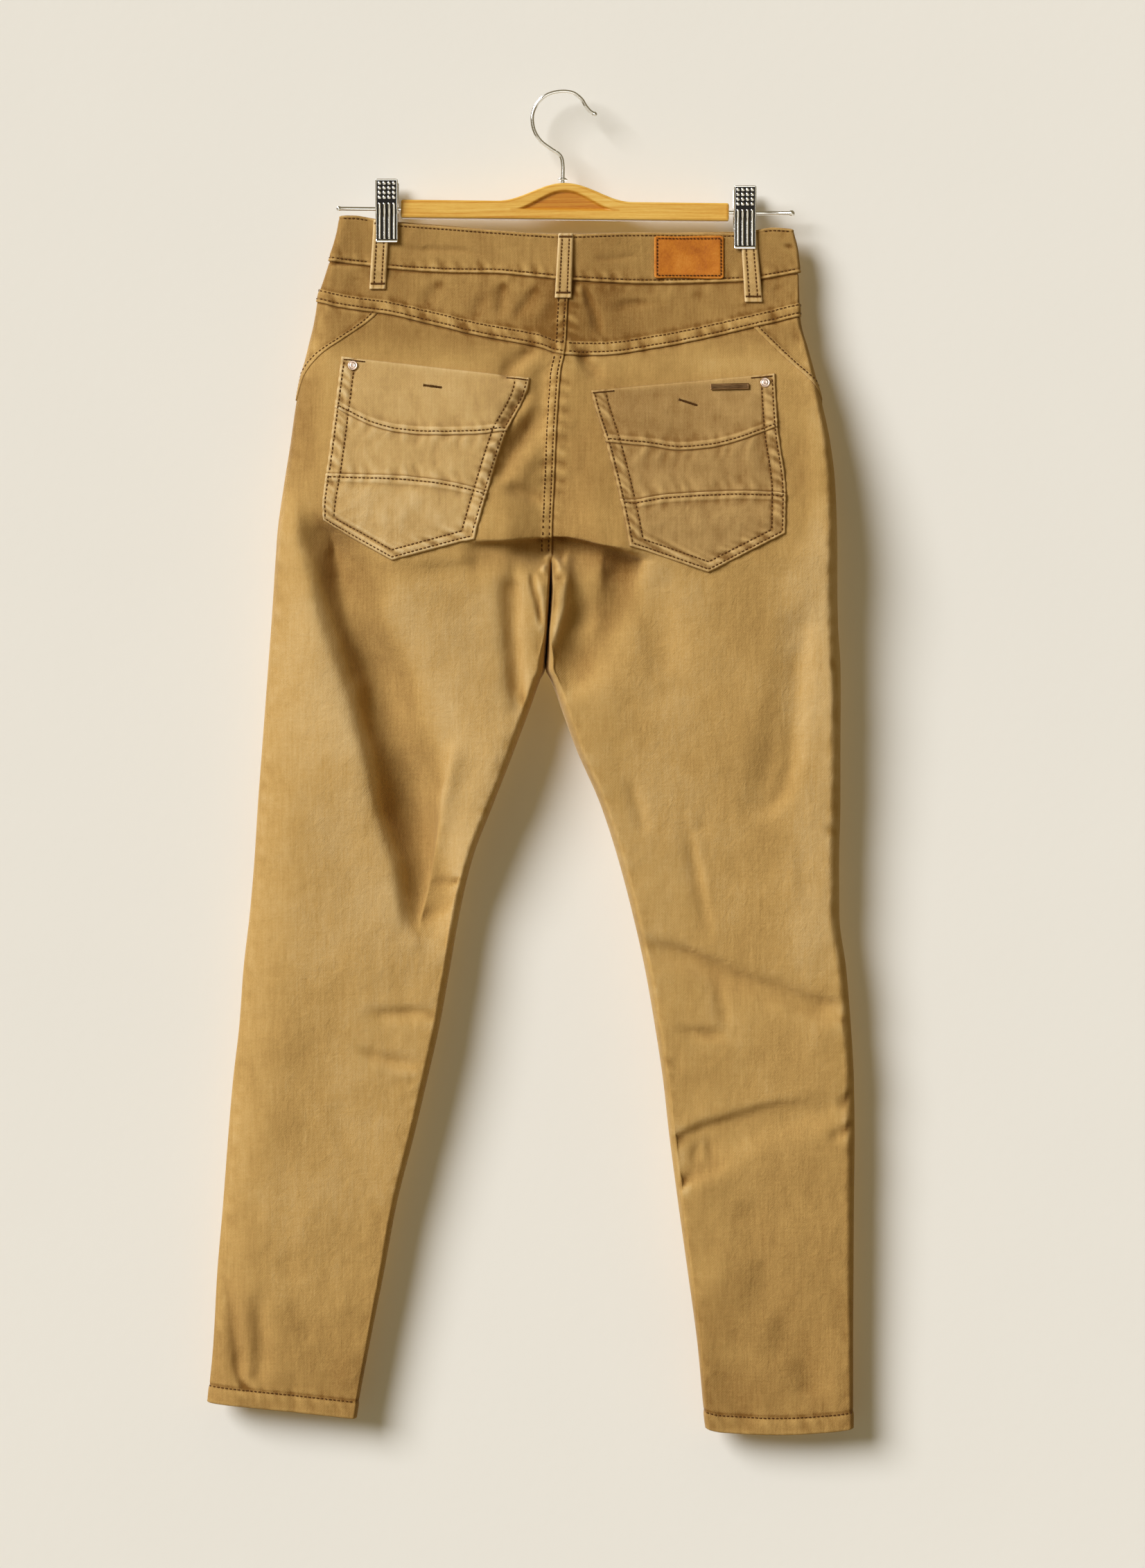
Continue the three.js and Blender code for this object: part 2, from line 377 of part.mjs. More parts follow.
// ---------------------------------------------------------------- cloth panels
const half = SEAM / 2;
const sideName = (side) => (side < 0 ? 'left' : 'right');
for (const side of [-1, 1]) {
  const n = sideName(side), gap = (z) => half * perMm(side, 0.5, z), gapF = (z) => half * perMm(side, 1.5, z);
  const hipX = curve(side < 0 ? HIP_LEFT : HIP_RIGHT, 'z', 'x');
  const mouthX = curve(MOUTH, 'z', 'out');
  const hipEnd = -259.8;
  const hipQ = (z) => (z <= hipEnd ? 1 : aroundOf(side, -1, hipX(z), z));
  const mouthQ = (z) => (z <= hipEnd ? 1 : aroundOf(side, 1, side * mouthX(z), z));

  cloth(`yoke_${n}`, MAT.cloth, closeAtEnds(20, 0.3), even(3),
    panel(side, gap, (z) => 1 - 3 * gap(z), (x) => bandBack(x) - half, (x) => yoke(x) + half));
  cloth(`back_${n}`, MAT.cloth, closeAtEnds(14), BACK_ROWS,
    panel(side, gap, (z) => Math.min(hipQ(z) - 2 * gap(z), 1 - gap(z)), (x) => yoke(x) - half, hem[n]));
  cloth(`front_${n}`, MAT.cloth, closeAtEnds(10), FRONT_ROWS,
    panel(side, (z) => 2 - gapF(z), (z) => Math.max(mouthQ(z) + 3 * gapF(z), 1 + gapF(z)), (x) => bandFront(x) - half, hem[n]));
  // The hip piece starts on the back under the yoke, turns round the side and ends in the pocket mouth.
  const turn = (s, z) => (s < 0.5 ? mix(hipQ(z) + 2 * gap(z), 1 - gap(z), s / 0.498) : mix(1 + gapF(z), mouthQ(z) - 3 * gapF(z), (s - 0.502) / 0.498));
  const hipTop = (x, around) => (around < 1 ? yoke(x) - half : bandFront(x) - half);
  cloth(`hip_${n}`, MAT.cloth, [0, 0.17, 0.33, 0.44, 0.498, 0.502, 0.56, 0.64, 0.74, 0.87, 1], even(10),
    (s, t) => {
      let z = -200, around = 1;
      for (let k = 0; k < 14; k++) {
        around = turn(s, z);
        z = mix(z, mix(hipTop(spot(side, around, z).x, around), hipEnd + 2.5, t), 0.8);
      }
      return { side, around, z };
    });
}

// ---------------------------------------------------------------- waistband
const wrap = (s) => (s < 0.5 ? { side: -1, around: 1 - 2 * s } : { side: 1, around: 2 * s - 1 });
const across = (top, bottom) => (s, t) => {
  const { side, around } = wrap(s);
  let z = -130, q = around;
  for (let k = 0; k < 10; k++) {
    q = Math.min(around, 1 - half * perMm(side, 0.5, z));
    const x = spot(side, q, z).x;
    z = mix(top(x) , bottom(x) + half, t);
  }
  return { side, around: q, z };
};
const bandCols = [...closeAtEnds(13, 0.5).map((u) => u / 2), ...closeAtEnds(13, 0.5).map((u) => 0.5 + u / 2).slice(1)];
bandCols.splice(1, 0, 0.006, 0.013);
bandCols.splice(bandCols.length - 1, 0, 0.987, 0.994);
bandCols.sort((a, b) => a - b);
cloth('waistband_back', MAT.cloth, bandCols, even(2), across(topBack, bandBack), BAND_PROUD, BAND_PROUD - BAND);
// The front ends cross at the centre: the left one lies over, the right one runs on under it.
const bandFrontAt = (side, past) => (s, t) => {
  let z = -130, q = 1, used = side;
  const cross = (u) => mix(1, 2 + past * perMm(side, 1.5, -130), u);
  for (let k = 0; k < 10; k++) {
    const u = cross(s);
    used = u <= 2 ? side : -side;
    q = Math.max(u <= 2 ? u : 4 - u, 1 + half * perMm(side, 1.5, z));
    const x = spot(used, q, z).x;
    z = mix(topFront(x), bandFront(x) + half, t);
  }
  return { side: used, around: q, z };
};
const tipCols = (n) => [0, 0.014, 0.03, 0.055, ...even(n).slice(1)].sort((a, b) => a - b);
const under = (s) => UNDERLAP.sink * smooth((s - 0.81) / 0.06);
cloth('waistband_front_left', MAT.cloth, tipCols(12), even(2), bandFrontAt(-1, -half), BAND_PROUD, BAND_PROUD - BAND);
cloth('waistband_front_right', MAT.cloth, [...tipCols(13), 0.81, 0.83, 0.85, 0.87].sort((a, b) => a - b), even(2), bandFrontAt(1, UNDERLAP.past), (s) => BAND_PROUD - under(s), (s) => BAND_PROUD - BAND - under(s));

// ---------------------------------------------------------------- fly, loops, patch
cloth('fly_shield', MAT.cloth, even(3), even(6), (s, t) => {
  const z = mix(FLY.top, FLY.bottom, t), x = mix(FLY.from, mix(FLY.to, 2, smooth((t - 0.75) / 0.3)), s), side = x < outline.inLeft(z) ? -1 : 1;
  return { side, around: aroundOf(side, 1, x, z), z };
}, -CLOTH - LAID, -2 * CLOTH - LAID);

for (const l of LOOPS) {
  const seam = l.face < 0 ? bandBack : bandFront;
  const at = (s, t) => {
    const z = mix(l.top, l.bottom, t), x = mix(mix(l.x0, l.foot0, t), mix(l.x1, l.foot1, t), s);
    const side = l.side || (x < outline.inLeft(z) ? -1 : 1);
    return { side, around: aroundOf(side, l.face, x, z), z };
  };
  const off = (s, t) => {
    const z = mix(l.top, l.bottom, t), past = seam((l.x0 + l.x1) / 2) + 1 - z;
    const onBand = BAND_PROUD + LAID + (l.side === 0 ? 0.7 : 0) * smooth((l.top - z) / 6);
    return mix(onBand, LAID, smooth((past - 3) / 9));
  };
  cloth(l.name, MAT.trim, even(2), [0, 0.1, 0.35, 0.6, 0.72, 0.8, 0.88, 1], at, (s, t) => off(s, t) + LOOP, off);
}
cloth('leather_patch', MAT.leather, even(6), even(2), (s, t) => {
  const x = mix(LEATHER.x0, LEATHER.x1, s), z = mix(LEATHER.z0, LEATHER.z1, t);
  return { side: 1, around: aroundOf(1, -1, x, z), z };
}, BAND_PROUD + LAID + PATCH, BAND_PROUD + LAID);

// ---------------------------------------------------------------- back pockets and their metal
const onFace = (side, x, z, face = -1) => {
  const around = aroundOf(side, face, x, z);
  return { point: spot(side, around, z), normal: outward(side, around, z) };
};
const disc = (name, mat, profile, place, lift) => {
  const g = new THREE.LatheGeometry(profile.map(([r, h]) => new THREE.Vector2(r, h)), 20);
  g.deleteAttribute('normal'); g.deleteAttribute('uv');
  const mesh = add(name, mergeVertices(g, 1e-3), mat);
  mesh.quaternion.setFromUnitVectors(new THREE.Vector3(0, 1, 0), place.normal);
  mesh.position.copy(place.point).addScaledVector(place.normal, lift);
  return mesh;
};
for (const [n, p] of Object.entries(POCKETS)) {
  const inner = curve(p.inner, 'z', 'x'), outer = curve(p.outer, 'z', 'x');
  const band = curve(p.bandSeam, 'x', 'z'), body = curve(p.bodySeam, 'x', 'z');
  const foot = (x) => line(p.foot, x);
  const top = (x) => line(p.top, x);
  const low = LAID, high = LAID + CLOTH;
  const place = (a, b) => laid(p.side, -1, outer, inner, a, b);
  cloth(`pocket_${n}_band`, MAT.trim, closeAtEnds(12, 0.3), even(3), place(top, (x) => band(x) + half), high, low);
  cloth(`pocket_${n}_body`, MAT.trim, closeAtEnds(12, 0.3), even(3), place((x) => band(x) - half, (x) => body(x) + half), high, low);
  cloth(`pocket_${n}_foot`, MAT.trim, closeAtEnds(12, 0.3), even(4), place((x) => body(x) - half, foot), high, low);
  const lift = high + 0.5;
  disc(`rivet_${n}`, MAT.copper, [[0, 0], [RIVET.radius, 0], [RIVET.radius, 0.5], [RIVET.radius * 0.7, RIVET.thick], [0, RIVET.thick]],
    onFace(p.side, p.rivet.x, p.rivet.z), lift);
}
{
  const b = LABEL_BAR, place = onFace(1, b.x, b.z);
  const mesh = add('label_bar', new THREE.BoxGeometry(b.width, b.thick, b.height, 1, 1, 1), MAT.bronze);
  const up = new THREE.Vector3(-0.02, 0, 1).addScaledVector(place.normal, -place.normal.z).normalize();
  const along = new THREE.Vector3().crossVectors(place.normal.clone().negate(), up).negate();
  mesh.quaternion.setFromRotationMatrix(new THREE.Matrix4().makeBasis(along, place.normal.clone(), new THREE.Vector3().crossVectors(along, place.normal)));
  mesh.position.copy(place.point).addScaledVector(place.normal, LAID + CLOTH + 1.1 + b.thick / 2);
}
disc('button', MAT.bronze, [[0, 0], [BUTTON.radius * 0.55, 0], [BUTTON.radius * 0.55, 0.8], [BUTTON.radius, 1.0], [BUTTON.radius, 2.0], [BUTTON.radius * 0.8, BUTTON.thick], [0, BUTTON.thick]],
  onFace(-1, BUTTON.x, BUTTON.z, 1), BAND_PROUD + 0.35);

// ---------------------------------------------------------------- hanger
const solid = (geometry, matrix) => {
  const g = geometry.clone();
  g.deleteAttribute('normal'); g.deleteAttribute('uv');
  if (matrix) g.applyMatrix4(matrix);
  const m = mergeVertices(g, 1e-3);
  return new wasm.Manifold(new wasm.Mesh({ numProp: 3, vertProperties: Float32Array.from(m.attributes.position.array), triVerts: Uint32Array.from(m.index.array) }));
};
const geometryOf = (manifold) => {
  const m = manifold.getMesh(), g = new THREE.BufferGeometry();
  g.setAttribute('position', new THREE.Float32BufferAttribute(m.vertProperties, 3));
  g.setIndex([...m.triVerts]);
  return g;
};
const shift = (x, y, z) => new THREE.Matrix4().makeTranslation(x, y, z);
const rodAlongX = (radius, from, to, z, y = 0, sides = 14) => {
  const g = new THREE.CylinderGeometry(radius, radius, to - from, sides);
  g.rotateZ(Math.PI / 2);
  g.translate((from + to) / 2, y, z);
  return g;
};
const archAt = (x) => (Math.abs(x) >= BAR.archHalf ? 0 : (BAR.arch * (Math.cos((Math.PI * x) / BAR.archHalf) + 1)) / 2);
const upright = (shape, depth, bevel) => {
  const g = new THREE.ExtrudeGeometry(shape, { depth: depth - 2 * bevel, bevelEnabled: bevel > 0, bevelThickness: bevel, bevelSize: bevel, bevelOffset: -bevel, bevelSegments: 2, curveSegments: 4, steps: 1 });
  g.translate(0, 0, -(depth - 2 * bevel) / 2);
  g.rotateX(Math.PI / 2);
  return g;
};
{
  // The bar in its own frame, centred, then set down with its slight tilt.
  const L = BAR.length / 2, H = BAR.height / 2, r = 2.2, shape = new THREE.Shape();
  shape.moveTo(-L + r, -H);
  shape.lineTo(L - r, -H); shape.lineTo(L, -H + r); shape.lineTo(L, H - r); shape.lineTo(L - r, H);
  for (let x = BAR.archHalf; x >= -BAR.archHalf - 0.01; x -= BAR.archHalf / 10) shape.lineTo(x, H + archAt(x));
  shape.lineTo(-L + r, H); shape.lineTo(-L, H - r); shape.lineTo(-L, -H + r);
  shape.closePath();
  const lens = new THREE.Shape();
  const lensHalf = 46, floor = 0.4;
  lens.moveTo(-lensHalf, floor);
  for (let k = -9; k <= 9; k++) lens.lineTo((k * lensHalf) / 10, floor + 16.4 * 0.5 * (1 + Math.cos((Math.PI * k) / 10)));
  lens.lineTo(lensHalf, floor);
  lens.closePath();
  const t = BAR.thick, cutDepth = 2.4;
  let bar = solid(upright(shape, t, 1.2));
  bar = bar.subtract(solid(upright(lens, cutDepth * 2, 0), shift(0, -t / 2, 0))).subtract(solid(upright(lens, cutDepth * 2, 0), shift(0, t / 2, 0)));
  for (const e of [-1, 1]) bar = bar.subtract(solid(rodAlongX(ROD / 2 + SEAM, Math.min(e * (L - 25), e * (L + 5)), Math.max(e * (L - 25), e * (L + 5)), 0)));
  const bore = new THREE.CylinderGeometry(WIRE / 2 + 0.3, WIRE / 2 + 0.3, 40, 14);
  bore.rotateX(Math.PI / 2);
  bore.translate(-BAR.x, 0, 32);
  bar = bar.subtract(solid(bore));
  const place = (mesh) => { mesh.rotation.y = BAR.tilt; mesh.position.set(BAR.x, 0, BAR.z); return mesh; };
  place(add('hanger_bar', geometryOf(bar), MAT.wood));
  const ball = (x, rad) => solid(new THREE.SphereGeometry(rad, 12, 8), shift(x, 0, 0));
  place(add('rod_left', geometryOf(solid(rodAlongX(ROD / 2, -L - 51.8, -L + 24, 0)).add(ball(-L - 52, 2.1))), MAT.chrome));
  place(add('rod_right', geometryOf(solid(rodAlongX(ROD / 2, L - 24, L + 52, 0)).add(ball(L + 52.6, 2.6))), MAT.chrome));
}
{
  const wire = new THREE.CatmullRomCurve3(HOOK.map((p) => new THREE.Vector3(p.x, 0, p.z)), false, 'centripetal');
  const ring = new THREE.Shape();
  for (let i = 0; i < 10; i++) ring[i ? 'lineTo' : 'moveTo']((WIRE / 2) * Math.cos((i * Math.PI) / 5), (WIRE / 2) * Math.sin((i * Math.PI) / 5));
  ring.closePath();
  const tube = new THREE.ExtrudeGeometry(ring, { steps: 46, bevelEnabled: false, extrudePath: wire });
  const end = HOOK[HOOK.length - 1];
  add('hanger_hook', geometryOf(solid(tube).add(solid(new THREE.SphereGeometry(2.0, 12, 8), shift(end.x, 0, end.z)))), MAT.chrome);
  const collar = new THREE.LatheGeometry([[1.9, -73.2], [3.9, -73.2], [3.9, -72.2], [2.6, -71.2], [1.9, -71.2], [1.9, -73.2]].map(([r, h]) => new THREE.Vector2(r, h)), 16);
  collar.rotateX(Math.PI / 2);
  collar.deleteAttribute('normal'); collar.deleteAttribute('uv');
  add('hook_collar', mergeVertices(collar, 1e-3), MAT.chrome);
}
// Spring clips: two bent plates that turn on the rod, a coil spring's barrel between them.
for (const [n, x, top] of [['left', -147.3, -73.7], ['right', 152.5, -79.2]]) {
  const rodZ = BAR.z - (x - BAR.x) * Math.sin(BAR.tilt), w = CLIP.width;
  const bottom = top - CLIP.height, knee = rodZ - 8;
  const plate = (jaw, out) => {
    const face = [[jaw + out * CLIP.spread, top], [jaw + out * 1.6, rodZ], [jaw, knee], [jaw, bottom + 1], [jaw + out * 0.5, bottom]];
    const outline2 = [...face, ...face.map(([y, z]) => [y + out * CLIP.thick, z]).reverse()];
    const s = new THREE.Shape(outline2.map(([y, z]) => new THREE.Vector2(y, z)));
    const g = new THREE.ExtrudeGeometry(s, { depth: w, bevelEnabled: false, steps: 1 });
    g.translate(0, 0, -w / 2);
    return solid(g, new THREE.Matrix4().set(0, 0, 1, x, 1, 0, 0, 0, 0, 1, 0, 0, 0, 0, 0, 1));
  };
  const hole = solid(rodAlongX(ROD / 2 + 0.3, x - 20, x + 20, rodZ, 0, 16));
  const cheeks = (jaw, out, half2) => [-1, 1].map((e) => {
    const b = -out * 3.2, s = new THREE.Shape();
    s.moveTo(jaw + out * 3.1, rodZ + 7); s.lineTo(jaw + out * 1.3, rodZ - 6); s.lineTo(b + out * 2, rodZ - 3.4); s.lineTo(b, rodZ); s.lineTo(b + out * 2, rodZ + 3.4);
    s.closePath();
    const g = new THREE.ExtrudeGeometry(s, { depth: 1, bevelEnabled: false, steps: 1 });
    g.translate(0, 0, -0.5);
    return solid(g, new THREE.Matrix4().set(0, 0, 1, x + e * half2, 1, 0, 0, 0, 0, 1, 0, 0, 0, 0, 0, 1));
  });
  let near = plate(CLIP.nearJaw, -1), far = plate(CLIP.farJaw, 1);
  for (const c of cheeks(CLIP.nearJaw, -1, 8.6)) near = near.add(c);
  for (const c of cheeks(CLIP.farJaw, 1, 7.2)) far = far.add(c);
  add(`clip_${n}_near`, geometryOf(near.subtract(hole)), MAT.chrome);
  add(`clip_${n}_far`, geometryOf(far.subtract(hole)), MAT.chrome);
  const barrel = new THREE.LatheGeometry([[ROD / 2 + 0.35, -6.2], [3.6, -6.2], [3.6, 6.2], [ROD / 2 + 0.35, 6.2], [ROD / 2 + 0.35, -6.2]].map(([r, h]) => new THREE.Vector2(r, h)), 16);
  barrel.rotateZ(Math.PI / 2);
  barrel.translate(x, 0, rodZ);
  barrel.deleteAttribute('normal'); barrel.deleteAttribute('uv');
  add(`clip_${n}_spring`, mergeVertices(barrel, 1e-3), MAT.chrome);
}

export default group;
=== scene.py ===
# Slim five-pocket trousers on a wooden clip hanger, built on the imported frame.
# Lengths are worked out in millimetres and handed over in metres. The garment's back faces -Y.
import math

import bpy
import numpy as np
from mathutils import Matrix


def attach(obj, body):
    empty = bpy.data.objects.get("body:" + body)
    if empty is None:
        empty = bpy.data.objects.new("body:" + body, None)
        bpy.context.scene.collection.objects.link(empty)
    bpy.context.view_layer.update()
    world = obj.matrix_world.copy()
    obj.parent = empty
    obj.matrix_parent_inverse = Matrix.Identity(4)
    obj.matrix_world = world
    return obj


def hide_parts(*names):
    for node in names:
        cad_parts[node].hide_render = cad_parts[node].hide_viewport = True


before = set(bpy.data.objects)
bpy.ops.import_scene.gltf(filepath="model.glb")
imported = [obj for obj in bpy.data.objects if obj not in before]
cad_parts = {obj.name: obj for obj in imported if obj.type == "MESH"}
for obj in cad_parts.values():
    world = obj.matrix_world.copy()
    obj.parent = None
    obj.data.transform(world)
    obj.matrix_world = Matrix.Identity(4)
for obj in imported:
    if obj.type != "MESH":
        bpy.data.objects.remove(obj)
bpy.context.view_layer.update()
MM = 0.001

# ---------------------------------------------------------------- camera, light and stage
scene = bpy.context.scene
scene.view_settings.view_transform = "Standard"
scene.view_settings.look = "None"

FAR = 4.0
cam_data = bpy.data.cameras.new("camera")
cam_data.sensor_width = 36
cam_data.lens = 36 * FAR / 1.3125
cam = bpy.data.objects.new("camera", cam_data)
scene.collection.objects.link(cam)
cam.location = (0.00812, -FAR - 0.010, -0.5797)
cam.rotation_euler = (math.pi / 2, 0, 0)
scene.camera = cam


def area_light(name, at, to, size, power, colour):
    data = bpy.data.lights.new(name, "AREA")
    data.shape = "DISK"
    data.size = size
    data.energy = power
    data.color = colour
    o = bpy.data.objects.new(name, data)
    scene.collection.objects.link(o)
    from mathutils import Vector
    o.location = at
    o.rotation_euler = (Vector(to) - Vector(at)).to_track_quat("-Z", "Y").to_euler()
    return o


def sun(name, toward, strength, spread_deg, colour):
    data = bpy.data.lights.new(name, "SUN")
    data.energy = strength
    data.angle = math.radians(spread_deg)
    data.color = colour
    o = bpy.data.objects.new(name, data)
    scene.collection.objects.link(o)
    from mathutils import Vector
    o.rotation_euler = Vector(toward).to_track_quat("-Z", "Y").to_euler()
    return o


# One broad key high on the left, even over the whole height, and a dim one for the hidden side.
sun("key", (0.63, 0.65, -0.43), 3.66, 31, (0.945, 0.955, 1.0))
sun("far_side", (0.40, -0.78, -0.48), 2.6, 14, (1.0, 0.985, 0.95))


def card(name, at, to, size_x, size_y, power):
    o = area_light(name, at, to, size_x, power, (1.0, 0.99, 0.97))
    o.data.shape = "RECTANGLE"
    o.data.size_y = size_y
    return o


# Two cards for the polished parts to reflect; they give the cloth no light.
for name, y in (("front_card", -4.9), ("rear_card", 4.9)):
    card(name, (0.1, y, -0.5), (0, 0, -0.5), 1.7, 2.4, 26).visible_diffuse = False

world = bpy.data.worlds.new("studio")
scene.world = world
world.use_nodes = True
world.node_tree.nodes["Background"].inputs["Color"].default_value = (1.0, 0.83, 0.50, 1)
world.node_tree.nodes["Background"].inputs["Strength"].default_value = 0.25


# ---------------------------------------------------------------- shader helpers
class Net:
    """A material's node tree, written as short expressions."""

    def __init__(self, name):
        self.mat = bpy.data.materials.new(name)
        self.mat.use_nodes = True
        self.t = self.mat.node_tree
        self.bsdf = self.t.nodes["Principled BSDF"]
        self.out = self.t.nodes["Material Output"]
        self.object = self.t.nodes.new("ShaderNodeTexCoord").outputs["Object"]
        self.xyz = self.t.nodes.new("ShaderNodeSeparateXYZ")
        self.t.links.new(self.object, self.xyz.inputs[0])
        self.x, self.y, self.z = self.xyz.outputs

    def put(self, socket, value):
        if isinstance(value, bpy.types.NodeSocket):
            self.t.links.new(value, socket)
        else:
            socket.default_value = value

    def math(self, op, a, b=0.0, c=0.0, clamp=False):
        n = self.t.nodes.new("ShaderNodeMath")
        n.operation = op
        n.use_clamp = clamp
        for i, v in enumerate((a, b, c)):
            self.put(n.inputs[i], v)
        return n.outputs[0]

    def add(self, a, b):
        return self.math("ADD", a, b)

    def mul(self, a, b):
        return self.math("MULTIPLY", a, b)

    def vec(self, x, y, z):
        n = self.t.nodes.new("ShaderNodeCombineXYZ")
        for s, v in zip(n.inputs, (x, y, z)):
            self.put(s, v)
        return n.outputs[0]

    def scaled(self, sx, sy, sz):
        n = self.t.nodes.new("ShaderNodeVectorMath")
        n.operation = "MULTIPLY"
        self.t.links.new(self.object, n.inputs[0])
        n.inputs[1].default_value = (sx, sy, sz)
        return n.outputs[0]

    def noise(self, vector, scale=1.0, detail=2.0, rough=0.5, distort=0.0):
        n = self.t.nodes.new("ShaderNodeTexNoise")
        self.put(n.inputs["Vector"], vector)
        n.inputs["Scale"].default_value = scale
        n.inputs["Detail"].default_value = detail
        n.inputs["Roughness"].default_value = rough
        n.inputs["Distortion"].default_value = distort
        return n.outputs[0]

    def voronoi(self, vector, scale, feature="F1"):
        n = self.t.nodes.new("ShaderNodeTexVoronoi")
        n.feature = feature
        self.put(n.inputs["Vector"], vector)
        n.inputs["Scale"].default_value = scale
        return n.outputs[0]

    def attr(self, name):
        n = self.t.nodes.new("ShaderNodeAttribute")
        n.attribute_name = name
        return n.outputs["Fac"]

    def remap(self, v, a, b, c, d):
        n = self.t.nodes.new("ShaderNodeMapRange")
        self.put(n.inputs["Value"], v)
        for s, x in zip(("From Min", "From Max", "To Min", "To Max"), (a, b, c, d)):
            n.inputs[s].default_value = x
        return n.outputs[0]

    def blend(self, fac, a, b, mode="MIX"):
        n = self.t.nodes.new("ShaderNodeMix")
        n.data_type = "RGBA"
        n.blend_type = mode
        self.put(n.inputs[0], fac)
        self.put(n.inputs[6], a)
        self.put(n.inputs[7], b)
        return n.outputs[2]

    def ramp(self, fac, stops):
        n = self.t.nodes.new("ShaderNodeValToRGB")
        self.put(n.inputs[0], fac)
        e = n.color_ramp.elements
        while len(e) < len(stops):
            e.new(0.5)
        for el, (p, c) in zip(e, stops):
            el.position = p
            el.color = c
        return n.outputs[0]

    def bump(self, height, distance, strength=1.0, normal=None):
        n = self.t.nodes.new("ShaderNodeBump")
        self.put(n.inputs["Height"], height)
        n.inputs["Distance"].default_value = distance
        n.inputs["Strength"].default_value = strength
        if normal is not None:
            self.t.links.new(normal, n.inputs["Normal"])
        return n.outputs[0]

    def finish(self, colour, rough, normal=None, **fixed):
        self.put(self.bsdf.inputs["Base Color"], colour)
        self.put(self.bsdf.inputs["Roughness"], rough)
        if normal is not None:
            self.t.links.new(normal, self.bsdf.inputs["Normal"])
        for k, v in fixed.items():
            self.bsdf.inputs[k.replace("_", " ")].default_value = v
        return self.mat


def lin(r, g, b):
    f = lambda c: (c / 255 / 12.92) if c / 255 <= 0.04045 else ((c / 255 + 0.055) / 1.055) ** 2.4
    return (f(r), f(g), f(b), 1.0)


def cloth_material(name, body, pale, dark, pitch=0.00115):
    n = Net(name)
    large = n.noise(n.scaled(1, 1, 1), 7.5, 3.0, 0.55, 0.3)
    blotch = n.noise(n.scaled(1, 1, 0.7), 34, 4.0, 0.62, 0.5)
    slub = n.noise(n.scaled(1.0, 0.25, 0.055), 640, 2.0, 0.6)
    pick = n.noise(n.scaled(0.07, 0.25, 1.0), 520, 2.0, 0.6)
    drift = n.mul(n.noise(n.scaled(1, 1, 1), 60, 2.0), 0.0011)
    along = n.add(n.add(n.mul(n.x, 0.82), n.mul(n.z, 0.57)), drift)
    rib = n.math("SINE", n.mul(along, 2 * math.pi / pitch))
    fleck = n.noise(n.scaled(1, 1, 1), 900, 2.0, 0.7)
    tone = n.add(n.mul(n.add(large, -0.5), 0.30), n.mul(n.add(blotch, -0.5), 0.34))
    tone = n.add(tone, n.mul(n.add(slub, -0.5), 0.26))
    tone = n.add(tone, n.mul(n.add(pick, -0.5), 0.10))
    tone = n.add(tone, n.mul(n.add(fleck, -0.5), 0.34))
    tone = n.add(tone, n.mul(rib, 0.04))
    tone = n.add(tone, n.mul(n.attr("wear"), 0.5))
    # painted shade: the cloth darker in troughs, seam dents and under lapped edges
    tone = n.add(tone, n.mul(n.attr("hollow"), -0.5))
    # dye differences together with painted light and painted shade over the garment
    tone = n.add(tone, n.attr("dye_and_painted_light"))
    tone = n.add(tone, 0.5)
    colour = n.ramp(tone, [(0.0, dark), (0.5, body), (1.0, pale)])
    rough = n.remap(blotch, 0.3, 0.7, 0.84, 0.97)
    weave = n.add(n.mul(rib, 0.4), n.add(n.mul(slub, 0.5), n.add(n.mul(pick, 0.25), n.mul(fleck, 0.9))))
    b1 = n.bump(n.noise(n.scaled(1, 1, 0.8), 120, 4.0, 0.6, 0.6), 0.0016, 0.55)
    b2 = n.bump(weave, 0.00035, 0.6, b1)
    return n.finish(colour, rough, b2, Sheen_Weight=0.06, Sheen_Roughness=0.5, Specular_IOR_Level=0.12)


CLOTH = cloth_material("twill", lin(190, 152, 89), lin(222, 192, 138), lin(124, 86, 37))
TRIM = cloth_material("twill_worn", lin(198, 162, 103), lin(230, 203, 152), lin(138, 102, 54))
INSIDE = cloth_material("twill_inside", lin(170, 138, 90), lin(196, 166, 116), lin(120, 92, 52))


def thread_material():
    n = Net("thread")
    twist = n.math("SINE", n.mul(n.add(n.x, n.mul(n.z, 0.8)), 2 * math.pi / 0.0006))
    v = n.noise(n.scaled(1, 1, 1), 150, 3.0, 0.6)
    tone = n.add(n.mul(twist, 0.1), v)
    colour = n.ramp(tone, [(0.25, lin(66, 37, 8)), (0.75, lin(106, 68, 24))])
    return n.finish(colour, n.remap(v, 0.3, 0.7, 0.5, 0.72), n.bump(twist, 0.0001, 0.5), Specular_IOR_Level=0.15)


THREAD = thread_material()


def leather_material():
    n = Net("patch_leather")
    grain = n.voronoi(n.scaled(1, 1, 1), 780)
    pore = n.noise(n.scaled(1, 1, 1), 420, 3.0, 0.6)
    cloud = n.noise(n.scaled(1, 1, 1), 48, 4.0, 0.6, 0.6)
    tone = n.add(n.mul(cloud, 0.8), n.add(n.mul(pore, 0.3), n.mul(grain, -0.12)))
    # painted shade in the groove along the patch's edge
    tone = n.add(tone, n.mul(n.attr("hollow"), -0.35))
    tone = n.add(tone, n.mul(n.attr("wear"), 0.25))
    colour = n.ramp(tone, [(0.25, lin(160, 84, 12)), (0.55, lin(194, 116, 28)), (0.85, lin(214, 142, 54))])
    height = n.add(n.mul(grain, 0.6), n.mul(pore, 0.5))
    return n.finish(colour, n.remap(pore, 0.3, 0.7, 0.46, 0.66), n.bump(height, 0.0003, 0.5), Specular_IOR_Level=0.22)


